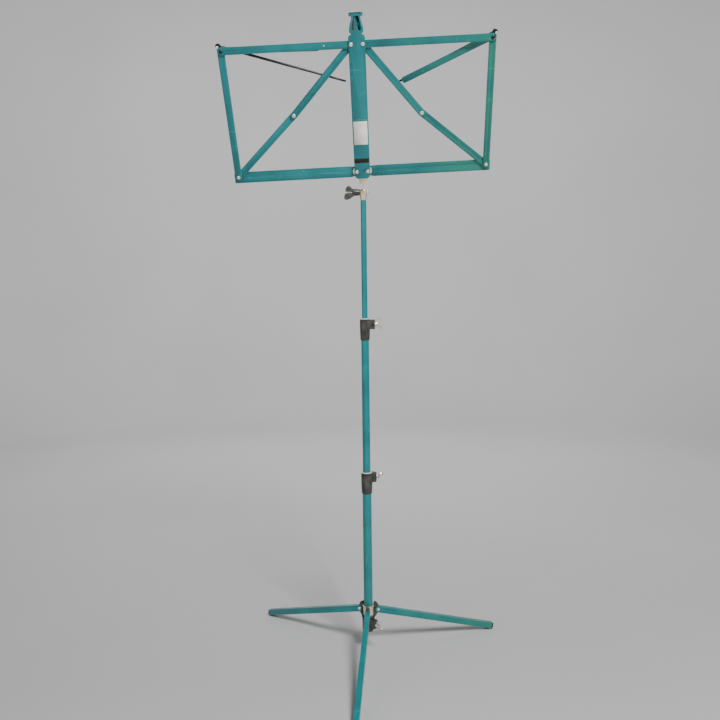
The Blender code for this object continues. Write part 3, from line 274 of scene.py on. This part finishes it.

# ---------------------------------------------------------------- legs
# Three channels folded from steel strip, open underneath, and sprayed with turquoise enamel.
# The enamel is worn pale on the edges and scratched along its length, and it turns greener to the right, a
# painted tint of warm light falling from that side.


def turquoise_enamel():
    """Stoved enamel on steel: orange peel, pale scratches, rubbed edges and chips down to grey primer."""
    finish, tree, shader, place = new_finish("turquoise_enamel")
    across = tree.nodes.new("ShaderNodeSeparateXYZ")
    tree.links.new(place, across.inputs["Vector"])
    # Greener toward +X in each piece's own coordinates: painted warm light from the right.
    painted_warm_light_right = between(tree, across.outputs["X"], 0.0, 0.24)
    cloud = grain(tree, place, 22, 4)
    blotch = grain(tree, place, 75, 3, shift=(7, 2, 5))
    peel = grain(tree, place, 1300, 2)
    scratch = grain(tree, place, 300, 6, stretch=(1, 1, 0.045), turn=(0.4, 0.3, 0.2), shift=(1, 8, 3))
    scratch_over = grain(tree, place, 260, 6, stretch=(0.04, 1, 1), turn=(0.1, 0.5, -0.3), shift=(4, 2, 9))
    chips = grain(tree, place, 190, 7, shift=(2, 9, 1))
    colour = colours(tree, painted_warm_light_right, (0.0005, 0.200, 0.215), (0.012, 0.190, 0.120))
    colour = colours(tree, between(tree, cloud, 0.35, 0.70), colour, (0.0010, 0.140, 0.152))
    colour = colours(tree, between(tree, blotch, 0.62, 0.80, 0.0, 0.5), colour, (0.004, 0.290, 0.300))
    down = between(tree, scratch, 0.665, 0.70)
    over = between(tree, scratch_over, 0.665, 0.70)
    lines = both(tree, down, over, "MAXIMUM")
    colour = colours(tree, between(tree, lines, 0.0, 1.0, 0.0, 0.4), colour, (0.10, 0.38, 0.36))
    edge = near_edge(tree, 0.45 * MM)
    rubbed = both(tree, edge, between(tree, cloud, 0.42, 0.60, 0.15, 0.75))
    colour = colours(tree, rubbed, colour, (0.010, 0.270, 0.265))
    bare = both(tree, edge, between(tree, chips, 0.60, 0.64))
    colour = colours(tree, bare, colour, (0.23, 0.22, 0.20))
    tree.links.new(colour, shader.inputs["Base Color"])
    dull = between(tree, cloud, 0.3, 0.7, 0.26, 0.40)
    dull = both(tree, dull, between(tree, lines, 0.0, 1.0, 0.0, 0.25), "ADD")
    tree.links.new(dull, shader.inputs["Roughness"])
    relief(tree, shader, peel, 0.02 * MM, 0.5)
    shader.inputs["Coat Weight"].default_value = 0.25
    shader.inputs["Coat Roughness"].default_value = 0.15
    return finish


PAINT = turquoise_enamel()
LEG_SIDES = ("front", "right", "left")
for side in LEG_SIDES:
    from_solid(f"leg_{side}", f"leg_channel_{side}", 0.45 * MM, PAINT, f"leg_{side}_body")

# ---------------------------------------------------------------- leg pins
# A bright steel rivet through each leg and its crown lug, domed over at its two ends.
# The legs turn on them.


def bright_nickel():
    """Nickel plate on steel: bright, with fine handling marks, brown specks, a warm cast and painted shade
    darkening its edges.
    """
    finish, tree, shader, place = new_finish("bright_nickel", metallic=0.72)
    rub = grain(tree, place, 900, 5)
    warm = grain(tree, place, 160, 3, shift=(5, 5, 1))
    colour = colours(tree, between(tree, warm, 0.40, 0.68), (0.90, 0.89, 0.85), (0.82, 0.77, 0.64))
    colour = colours(tree, between(tree, rub, 0.66, 0.76), colour, (0.24, 0.19, 0.14))
    # Darker on the edges and in the corners of each piece: painted shade.
    painted_edge_shade = between(tree, near_edge(tree, 0.5 * MM), 0.0, 1.0, 0.0, 0.8)
    colour = colours(tree, painted_edge_shade, colour, (0.10, 0.09, 0.08))
    tree.links.new(colour, shader.inputs["Base Color"])
    tree.links.new(between(tree, rub, 0.30, 0.70, 0.20, 0.42), shader.inputs["Roughness"])
    relief(tree, shader, rub, 0.02 * MM, 0.4)
    return finish


def reach_of(node, origin, direction):
    """How far a solid goes along an axis, and its greatest radius about it."""
    along = []
    away = 0.0
    for vertex in nodes[node].data.vertices:
        arm = vertex.co - Vector(origin)
        distance = arm.dot(direction)
        along.append(distance)
        away = max(away, (arm - distance * Vector(direction)).length)
    return min(along), max(along), away


def dome(start, height, radius, toward=1, steps=7):
    """The outline of a rivet's domed end, from its crown on the axis out to its rim."""
    points = []
    for number in range(steps + 1):
        angle = math.pi / 2 * number / steps
        points.append((radius * math.sin(angle), start + toward * height * (1 - math.cos(angle))))
    return points


NICKEL = bright_nickel()
PIN_DOME = 0.9 * MM
PIN_EDGE = 0.1 * MM
PIN_SHANK = 1.5 * MM
for side in LEG_SIDES:
    axis = Vector(joints[f"leg_{side}_fold"]["axis"])
    origin = Vector(joints[f"leg_{side}_fold"]["pos_m"])
    start, end, head = reach_of(f"leg_pin_{side}", origin, axis)
    under = start + PIN_DOME + PIN_EDGE
    over = end - PIN_DOME - PIN_EDGE
    outline = dome(start, PIN_DOME, head)
    outline += [(head, under), (PIN_SHANK, under), (PIN_SHANK, over), (head, over)]
    outline += dome(end, PIN_DOME, head, -1)[::-1]
    turned(f"pin_{side}", outline, origin, axis, NICKEL, "base", f"leg_pin_{side}", steps=32)

# ---------------------------------------------------------------- feet
# A black rubber plug pushed into the end of each leg. Its sole is flat on the floor.
# The rubber is dull, with a grey bloom and floor dust toward the sole.


def black_rubber():
    """Rubber with a grey bloom, dusty near the floor."""
    finish, tree, shader, place = new_finish("black_rubber")
    height = tree.nodes.new("ShaderNodeSeparateXYZ")
    tree.links.new(place, height.inputs["Vector"])
    bloom = grain(tree, place, 130, 5)
    pores = grain(tree, place, 1800, 3)
    colour = colours(tree, between(tree, bloom, 0.40, 0.75), (0.012, 0.012, 0.013), (0.05, 0.049, 0.047))
    near_floor = between(tree, height.outputs["Z"], 6 * MM, 0.0)
    dusty = both(tree, near_floor, between(tree, bloom, 0.3, 0.7, 0.3, 1.0))
    colour = colours(tree, dusty, colour, (0.16, 0.15, 0.135))
    tree.links.new(colour, shader.inputs["Base Color"])
    tree.links.new(between(tree, bloom, 0.3, 0.7, 0.62, 0.85), shader.inputs["Roughness"])
    relief(tree, shader, pores, 0.05 * MM, 0.7)
    return finish


RUBBER = black_rubber()
for side in LEG_SIDES:
    from_solid(f"foot_{side}", f"leg_plug_{side}", 0.7 * MM, RUBBER, f"leg_{side}_body", segments=3)

# ---------------------------------------------------------------- base clamp
# The black moulded barrel under the crown, with a boss for its screw, and a nylon pad in its wall.
# The wing screw presses the pad on the lower tube, which fixes how far the legs spread.


def white_nylon():
    """Natural nylon, milky and a little yellowed, with grey marks from the tubes."""
    finish, tree, shader, place = new_finish("white_nylon")
    marks = grain(tree, place, 240, 5)
    colour = colours(tree, between(tree, marks, 0.45, 0.72), (0.78, 0.77, 0.71), (0.50, 0.48, 0.42))
    tree.links.new(colour, shader.inputs["Base Color"])
    tree.links.new(between(tree, marks, 0.3, 0.7, 0.38, 0.6), shader.inputs["Roughness"])
    relief(tree, shader, marks, 0.03 * MM, 0.5)
    return finish


WING_REACH = 14 * MM  # from the collar's foot to the wing tips
WING_THICK = 3.0 * MM
WING_HALF = 11.6  # the wing outline's own half span
WING = [(1.6, 2.2), (2.6, 6.2), (4.6, 9.6), (7.4, 11.4), (10.4, 11.5), (12.8, 10.2)]
WING += [(13.9, 7.8), (13.2, 5.3), (11.0, 3.7), (8.6, 2.6), (6.2, 1.4), (3.4, 1.0)]
THREAD = 2.5 * MM  # radius of the screw over its thread
THREAD_PITCH = 0.9 * MM


def wing_screw(name, node, joint, body):
    """A cast wing screw: a threaded stem, a turned collar and two dished wings, nickel plated."""
    origin = Vector(joints[joint]["pos_m"])
    axis = Vector(joints[joint]["axis"]).normalized()
    start, end, half = reach_of(node, origin, axis)
    arms = [vertex.co - origin for vertex in nodes[node].data.vertices]
    span = max((arm - arm.dot(axis) * axis for arm in arms), key=lambda aside: aside.length).normalized()
    collar = end - WING_REACH
    root = THREAD - 0.4 * MM
    outline = [(0, start), (THREAD - 0.6 * MM, start)]
    for number in range(int((collar - start - 1.5 * MM) / THREAD_PITCH)):
        low = start + 0.4 * MM + THREAD_PITCH * number
        outline += [(root, low), (THREAD, low + THREAD_PITCH * 0.5)]
    outline += [(root, collar - 0.9 * MM), (THREAD - 0.2 * MM, collar - 0.2 * MM)]
    outline += [(3.6 * MM, collar), (4.1 * MM, collar + 0.5 * MM), (4.1 * MM, collar + 2.6 * MM)]
    outline += [(3.5 * MM, collar + 3.6 * MM), (3.0 * MM, collar + 5.2 * MM), (2.2 * MM, collar + 6.4 * MM)]
    outline += [(1.2 * MM, collar + 7.0 * MM), (0, collar + 7.2 * MM)]
    shape = bmesh.new()
    spin_up(shape, [(distance, 0, radius) for radius, distance in outline], (1, 0, 0), 36)
    scale = half / (WING_HALF * MM)
    for way in (1, -1):
        lobe = bmesh.new()
        rim = [lobe.verts.new((collar + x * MM, -WING_THICK / 2, way * z * scale * MM)) for x, z in WING]
        plate = lobe.faces.new(rim)
        bmesh.ops.inset_individual(lobe, faces=[plate], thickness=2.1 * MM, depth=0)
        grown = bmesh.ops.extrude_face_region(lobe, geom=list(lobe.faces))
        moved = [item for item in grown["geom"] if isinstance(item, bmesh.types.BMVert)]
        bmesh.ops.translate(lobe, vec=(0, WING_THICK, 0), verts=moved)
        bmesh.ops.recalc_face_normals(lobe, faces=lobe.faces)
        for face in list(lobe.faces):
            if len(face.verts) == len(WING):
                bmesh.ops.inset_individual(lobe, faces=[face], thickness=0.5 * MM, depth=-0.8 * MM)
        sharp = [edge for edge in lobe.edges if len(edge.link_faces) == 2 and edge.calc_face_angle(0) > 1.2]
        bmesh.ops.bevel(
            lobe, geom=sharp, offset=0.6 * MM, segments=3, profile=0.5, affect="EDGES", material=-1
        )
        cast = bpy.data.meshes.new("lobe")
        lobe.to_mesh(cast)
        lobe.free()
        shape.from_mesh(cast)
        bpy.data.meshes.remove(cast)
    side_way = span.cross(axis)
    stand = Matrix((axis, side_way, span)).transposed().to_4x4()
    bmesh.ops.transform(shape, matrix=Matrix.Translation(origin) @ stand, verts=shape.verts)
    piece = set_down(shape, name, NICKEL, body, node)
    piece.data.set_sharp_from_angle(angle=math.radians(40))
    return piece


NYLON = white_nylon()
from_solid("base_clamp_body", "base_barrel", 0.7 * MM, BLACK, "base", segments=3)
from_solid("base_clamp_pad", "base_pad", 0.0, NYLON, "base")
wing_screw("base_wing_screw", "base_clamp_screw", "base_screw_turn", "base_screw")

# ---------------------------------------------------------------- tubes
# Three steel tubes that telescope, sprayed in the same enamel. Their ends are sawn, and lightly rounded.
# A black plastic plug closes the bottom end of the lower one.

TUBE_WALL = 0.9 * MM
for name, node, body in (
    ("tube_lower", "lower_tube", "lower_column"),
    ("tube_middle", "middle_tube", "middle_column"),
    ("tube_upper", "upper_tube", "upper_column"),
):
    low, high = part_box(node)
    outside = (high.x - low.x) / 2
    inside = outside - TUBE_WALL
    round_off = 0.25 * MM
    levels = 12
    outline = [(inside, low.z + round_off), (inside + round_off, low.z), (outside - round_off, low.z)]
    for number in range(levels + 1):
        outline.append((outside, low.z + round_off + (high.z - low.z - 2 * round_off) * number / levels))
    outline += [(outside - round_off, high.z), (inside + round_off, high.z), (inside, high.z - round_off)]
    turned(name, outline, AXIS, UP, PAINT, body, node, ring=True, steps=96)
from_solid("lower_tube_plug", "tube_plug", 0.4 * MM, BLACK, "lower_column")

# ---------------------------------------------------------------- tube clamps
# A black moulded barrel at the top of the lower and of the middle tube, with a boss for its wing screw.
# A white nylon bush guides the next tube, and shows as a thin rim; the screw presses a pad through it.

for prefix, body, bush_body, screw_body in (
    ("lower", "lower_column", "lower_column", "lower_screw"),
    ("upper", "middle_column", "swivel_bush", "upper_screw"),
):
    from_solid(f"{prefix}_clamp_body", f"{prefix}_barrel", 0.8 * MM, BLACK, body, segments=3)
    from_solid(f"{prefix}_bush", f"{prefix}_liner", 0.2 * MM, NYLON, bush_body)
    from_solid(f"{prefix}_clamp_pad", f"{prefix}_pad", 0.0, NYLON, bush_body if prefix == "upper" else body)
    wing_screw(f"{prefix}_wing_screw", f"{prefix}_clamp_screw", f"{prefix}_screw_turn", screw_body)

# ---------------------------------------------------------------- neck
# A plated ferrule pushed into the upper tube, with a fork at its top that holds the ear of the desk.
# A bolt crosses it, with a hexagon nut on the right and a black two-lobed knob moulded on its left end.

from_solid("neck_ferrule", "ferrule", 0.4 * MM, ZINC, "upper_column", segments=3)
from_solid("neck_nut", "hexagon_nut", 0.25 * MM, NICKEL, "upper_column")
from_solid("neck_knob", "two_lobed_knob", 1.6 * MM, BLACK, "neck_screw", segments=4)
bolt_axis = Vector(joints["neck_screw_turn"]["axis"])
bolt_origin = Vector(joints["neck_screw_turn"]["pos_m"])
bolt_start, bolt_end, bolt_radius = reach_of("neck_bolt", bolt_origin, bolt_axis)
BOLT_PITCH = 0.8 * MM
outline = [(0, bolt_start), (bolt_radius - 0.7 * MM, bolt_start)]
for number in range(int((bolt_end - bolt_start - 1.2 * MM) / BOLT_PITCH)):
    foot = bolt_start + 0.4 * MM + BOLT_PITCH * number
    outline += [(bolt_radius - 0.35 * MM, foot), (bolt_radius, foot + BOLT_PITCH / 2)]
outline += [(bolt_radius - 0.35 * MM, bolt_end - 0.5 * MM), (bolt_radius - 0.8 * MM, bolt_end), (0, bolt_end)]
turned("cross_bolt", outline, bolt_origin, bolt_axis, NICKEL, "neck_screw", "neck_bolt", steps=40)

# ---------------------------------------------------------------- tilt bracket
# Zinc-plated steel behind the foot of the spine. Its neck narrows to an ear that turns in the fork.

from_solid("tilt_bracket", "bracket", 0.35 * MM, ZINC, "desk")

# ---------------------------------------------------------------- spine
# The pressed and enamelled strip up the middle of the desk, with a bell-shaped head cut by two drops,
# and a deep step across its foot whose faces are painted black as shade. A spring clip is hooked over its
# top, black with a nickel top as a painted highlight.

TOWARD_PLAYER = Vector(joints["left_wing_fold"]["axis"]).normalized()
LEFT_TOP = Vector(joints["left_wing_fold"]["pos_m"])
LEFT_FOOT = Vector(joints["left_ledge_fold"]["pos_m"])
UP_SPINE = (LEFT_TOP - LEFT_FOOT).normalized()
ACROSS = UP_SPINE.cross(-TOWARD_PLAYER).normalized()
RIVET_ROW = (LEFT_TOP + Vector(joints["right_wing_fold"]["pos_m"])) / 2
FOOT_ROW = (LEFT_FOOT + Vector(joints["right_ledge_fold"]["pos_m"])) / 2
STEP_LOW = 15.9 * MM  # the step's lower and upper end, above the foot rivets
STEP_HIGH = 25.7 * MM
STEP_INNER = -1.2 * MM  # faces of the step lie past this depth, the spine's own back face before it
spine = from_solid("spine", "spine_strip", 0.3 * MM, PAINT, "desk")
# The step is enamelled like the rest of the spine; its faces get the black finish as painted shade.
spine.data.materials.append(BLACK)
for face in spine.data.polygons:
    rise = (face.center - FOOT_ROW).dot(UP_SPINE)
    depth = (face.center - FOOT_ROW).dot(TOWARD_PLAYER)
    if STEP_LOW < rise < STEP_HIGH and depth > STEP_INNER and face.normal.dot(TOWARD_PLAYER) < 0.5:
        face.material_index = 1
head_corners = [corner.co - RIVET_ROW for corner in spine.data.vertices]
head_back = min(arm.dot(TOWARD_PLAYER) for arm in head_corners if arm.dot(UP_SPINE) > 0)
DROP_LOW = 24.65 * MM  # centre of the round end of a drop, above the upper rivets
DROP_OUT = 6.0 * MM
DROP_ROUND = 2.6 * MM
DROP_TOP = 44.5 * MM
DROP_TOP_OUT = 3.1 * MM
DROP_TOP_HALF = 0.8 * MM
BACKING_SUNK = 0.5 * MM  # how far the black backing lies below the painted face
BACKING_THICK = 0.8 * MM
for side, sign in (("left", -1), ("right", 1)):
    outline = []
    for number in range(9):
        angle = math.pi + math.pi * number / 8
        over = sign * DROP_OUT + DROP_ROUND * math.cos(angle)
        outline.append((over, DROP_LOW + DROP_ROUND * math.sin(angle)))
    narrow = sign * DROP_TOP_OUT
    outline += [(narrow + DROP_TOP_HALF, DROP_TOP), (narrow - DROP_TOP_HALF, DROP_TOP)]
    shape = bmesh.new()
    plane = RIVET_ROW + TOWARD_PLAYER * (head_back + BACKING_SUNK)
    corners = [shape.verts.new(plane + ACROSS * over + UP_SPINE * up) for over, up in outline]
    face = shape.faces.new(corners)
    grown = bmesh.ops.extrude_face_region(shape, geom=[face])
    lifted = [part for part in grown["geom"] if isinstance(part, bmesh.types.BMVert)]
    bmesh.ops.translate(shape, vec=TOWARD_PLAYER * BACKING_THICK, verts=lifted)
    bmesh.ops.recalc_face_normals(shape, faces=shape.faces)
    backing = set_down(shape, f"{side}_drop_backing", BLACK, "desk")
    backing.data.set_sharp_from_angle(angle=math.radians(35))
CLIP_HIGHLIGHT_FROM = 49.2 * MM  # above this height over the upper rivets the clip keeps its nickel, a painted highlight; below it is black
# The clip is black, and its nickel top is a painted highlight.
clip = from_solid("top_clip", "spring_clip", 0.25 * MM, NICKEL, "desk")
clip.data.materials.append(BLACK)
for face in clip.data.polygons:
    if (face.center - RIVET_ROW).dot(UP_SPINE) < CLIP_HIGHLIGHT_FROM:
        face.material_index = 1

# ---------------------------------------------------------------- label
# A blank paper label, a little yellowed, stuck on the back of the spine above the step.


def old_paper():
    """Uncoated label stock, yellowed in clouds, with grey handling marks at its border."""
    finish, tree, shader, place = new_finish("old_paper")
    cloud = grain(tree, place, 90, 4)
    fibres = grain(tree, place, 1500, 4, stretch=(1, 1, 0.3))
    colour = colours(tree, between(tree, cloud, 0.35, 0.70), (0.90, 0.885, 0.82), (0.78, 0.74, 0.63))
    colour = colours(tree, between(tree, fibres, 0.58, 0.75, 0.0, 0.35), colour, (0.62, 0.60, 0.55))
    colour = colours(tree, near_edge(tree, 0.25 * MM), colour, (0.50, 0.47, 0.40))
    tree.links.new(colour, shader.inputs["Base Color"])
    shader.inputs["Roughness"].default_value = 0.7
    relief(tree, shader, fibres, 0.04 * MM, 0.5)
    return finish


PAPER = old_paper()
from_solid("label", "blank_label", 0.1 * MM, PAPER, "desk", segments=1)

# ---------------------------------------------------------------- wings
# On each side a top arm, a side bar, a ledge and a two-part brace, flat enamelled bars riveted so that
# they fold up beside the spine. Nickel washers stand behind the two foot rivets of the spine.


def rivet(name, node, origin, axis, body, head_up=1.3 * MM, tail_up=0.8 * MM, shank=2.0 * MM):
    """A domed steel rivet, its head on the back of the desk and its far end spread over a bar."""
    start, end, head = reach_of(node, origin, axis)
    spread = 2.7 * MM
    outline = dome(start, head_up - 0.25 * MM, head)
    outline += [(head, start + head_up - 0.02 * MM), (shank, start + head_up)]
    outline += [(shank, end - tail_up), (spread, end - tail_up), (spread, end - tail_up * 0.5)]
    outline += [(spread * 0.85, end - 0.05 * MM), (spread * 0.5, end), (spread * 0.3, end - 0.3 * MM)]
    outline += [(0, end - 0.35 * MM)]
    return turned(name, outline, origin, axis, NICKEL, body, node, steps=36)


def black_steel():
    """Steel dipped black: satin, with bare grey streaks where it rubs."""
    finish, tree, shader, place = new_finish("black_steel")
    streak = grain(tree, place, 300, 5, stretch=(0.15, 1, 1))
    colour = colours(tree, between(tree, streak, 0.58, 0.74), (0.012, 0.012, 0.013), (0.10, 0.098, 0.095))
    colour = colours(tree, near_edge(tree, 0.3 * MM), colour, (0.09, 0.09, 0.09))
    tree.links.new(colour, shader.inputs["Base Color"])
    tree.links.new(between(tree, streak, 0.35, 0.7, 0.30, 0.48), shader.inputs["Roughness"])
    relief(tree, shader, streak, 0.02 * MM, 0.4)
    return finish


def stud(face, height, radius):
    """The outline of a low dome that stands out of a face and is rooted a little way in it."""
    root = face + STUD_ROOT
    return dome(face - height, height, radius) + [(radius, root), (0, root)]


BLACK_STEEL = black_steel()
STUD_ROOT = 0.3 * MM
POST_HEAD_HEIGHT = 0.9 * MM
POST_HEAD_RADIUS = 2.3 * MM
BAR_ROUND = 0.28 * MM
ARM_FACE = 0.3 * MM  # the back face of an arm stands this far in front of the spine's back plane
for side in ("left", "right"):
    for node, name, body in (
        ("arm", "top_arm", "arm_body"),
        ("side_bar", "side_strip", "side_body"),
        ("ledge", "music_ledge", "ledge_body"),
        ("brace_upper", "brace_strip_upper", "upper_brace_body"),
        ("brace_lower", "brace_strip_lower", "lower_brace_body"),
        ("swing_bar", "swing_strip", "swing_body"),
    ):
        from_solid(f"{side}_{node}", f"{side}_{name}", BAR_ROUND, PAINT, f"{side}_{body}")
    from_solid(f"{side}_ledge_washer", f"{side}_washer", 0.2 * MM, NICKEL, "desk")
    top = Vector(joints[f"{side}_wing_fold"]["pos_m"])
    foot = Vector(joints[f"{side}_ledge_fold"]["pos_m"])
    corner = Vector(joints[f"{side}_side_bar_turn"]["pos_m"])
    low_corner = Vector(joints[f"{side}_lower_brace_turn"]["pos_m"])
    post = Vector(joints[f"{side}_page_arm_turn"]["pos_m"])
    knee_low, knee_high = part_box(f"{side}_brace_rivet")
    knee = (knee_low + knee_high) / 2
    rivet(f"{side}_spine_rivet", f"{side}_top_rivet", top, TOWARD_PLAYER, "desk")
    rivet(f"{side}_foot_rivet", f"{side}_ledge_rivet", foot, TOWARD_PLAYER, "desk")
    rivet(f"{side}_corner_rivet", f"{side}_lower_rivet", low_corner, TOWARD_PLAYER, f"{side}_side_body")
    rivet(f"{side}_knee_rivet", f"{side}_brace_rivet", knee, TOWARD_PLAYER, f"{side}_upper_brace_body")
    from_solid(f"{side}_corner_clip", f"{side}_corner_tab", 0.2 * MM, BLACK_STEEL, f"{side}_arm_body")
    tab_face = reach_of(f"{side}_corner_clip", post, TOWARD_PLAYER)[0]
    outline = stud(tab_face, POST_HEAD_HEIGHT, POST_HEAD_RADIUS)
    head = turned(f"{side}_post_head", outline, post, TOWARD_PLAYER, NICKEL, f"{side}_arm_body", steps=28)
    from_solid(f"{side}_page_arm", f"{side}_page_rod", 0.3 * MM, BLACK_STEEL, f"{side}_page_body")

# The left arm has a small bright stop pin a hand's breadth short of the spine, set in its face.
STOP_FROM_SPINE = 46 * MM
STOP_HEIGHT = 0.7 * MM
STOP_RADIUS = 1.5 * MM
left_corner = Vector(joints["left_side_bar_turn"]["pos_m"])
stop_place = LEFT_TOP + (left_corner - LEFT_TOP).normalized() * STOP_FROM_SPINE
stop_root = ARM_FACE + 0.2 * MM
outline = dome(ARM_FACE - STOP_HEIGHT, STOP_HEIGHT, STOP_RADIUS) + [(STOP_RADIUS, stop_root), (0, stop_root)]
stop = turned("left_stop_pin", outline, stop_place, TOWARD_PLAYER, NICKEL, "left_arm_body", steps=24)

# ---------------------------------------------------------------- studio
# A pale floor that sweeps up into a wall all round, a broad soft light high on the right, a weaker one
# on the left, and the camera at the height of the tubes.

FLOOR_RADIUS = 2.9
SWEEP = 1.5
WALL_TOP = 4.0
backdrop = bmesh.new()
profile = [(0.0, 0.0), (0.6, 0.0), (1.4, 0.0), (FLOOR_RADIUS, 0.0)]
SWEEP_STEPS = 16
for number in range(1, SWEEP_STEPS + 1):
    angle = math.pi / 2 * number / SWEEP_STEPS
    profile.append((FLOOR_RADIUS + SWEEP * math.sin(angle), SWEEP * (1 - math.cos(angle))))
profile.append((FLOOR_RADIUS + SWEEP, WALL_TOP))
spin_up(backdrop, [(radius, 0, height) for radius, height in profile], (0, 0, 1), 96, weld=0.1 * MM)
bmesh.ops.reverse_faces(backdrop, faces=backdrop.faces)
floor_mesh = bpy.data.meshes.new("studio_floor")
backdrop.to_mesh(floor_mesh)
backdrop.free()
floor_mesh.polygons.foreach_set("use_smooth", [True] * len(floor_mesh.polygons))
paper_roll, tree, shader, place = new_finish("backdrop_paper")
mottle = grain(tree, place, 1.2, 3)
tree.links.new(colours(tree, between(tree, mottle, 0.3, 0.7), (0.50, 0.50, 0.50), (0.53, 0.53, 0.53)),
               shader.inputs["Base Color"])
shader.inputs["Roughness"].default_value = 0.75
floor_mesh.materials.append(paper_roll)
floor = bpy.data.objects.new("studio_floor", floor_mesh)
bpy.context.scene.collection.objects.link(floor)
floor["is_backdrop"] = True


def soft_light(name, place, aim, size, power, colour=(1, 1, 1)):
    """A square soft box that looks at a point."""
    lamp = bpy.data.lights.new(name, "AREA")
    lamp.shape = "RECTANGLE"
    lamp.size, lamp.size_y = size
    lamp.energy = power
    lamp.color = colour
    box = bpy.data.objects.new(name, lamp)
    box.location = place
    box.rotation_euler = (Vector(aim) - Vector(place)).to_track_quat("-Z", "Y").to_euler()
    bpy.context.scene.collection.objects.link(box)
    return box


soft_light("key_light", (0.8, -2.0, 2.5), (0.0, 0.0, 0.6), (0.8, 0.8), 120)
soft_light("left_light", (-1.9, -1.9, 1.2), (0.0, 0.0, 0.7), (0.5, 1.6), 10)
soft_light("wall_light", (0.0, 1.2, 2.6), (0.0, 4.4, 1.0), (2.4, 1.2), 90)

world = bpy.data.worlds.new("studio")
world.use_nodes = True
world.node_tree.nodes["Background"].inputs["Color"].default_value = (1, 1, 1, 1)
world.node_tree.nodes["Background"].inputs["Strength"].default_value = 0.12
bpy.context.scene.world = world

CAMERA_PLACE = Vector((-0.0499, -1.3407, 0.6677))
CAMERA_YAW = math.radians(-1.382)
CAMERA_PITCH = math.radians(-3.782)
CAMERA_ROLL = math.radians(0.734)
lens = bpy.data.cameras.new("camera")
lens.sensor_width = 36
lens.lens = 36
camera = bpy.data.objects.new("camera", lens)
turn = Matrix.Rotation(CAMERA_YAW, 4, "Z") @ Matrix.Rotation(CAMERA_PITCH, 4, "X")
turn = turn @ Matrix.Rotation(CAMERA_ROLL, 4, "Y")
look_along_y = Matrix.Rotation(math.radians(90), 4, "X")
camera.matrix_world = Matrix.Translation(CAMERA_PLACE) @ turn @ look_along_y
bpy.context.scene.collection.objects.link(camera)
bpy.context.scene.camera = camera

low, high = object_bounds()
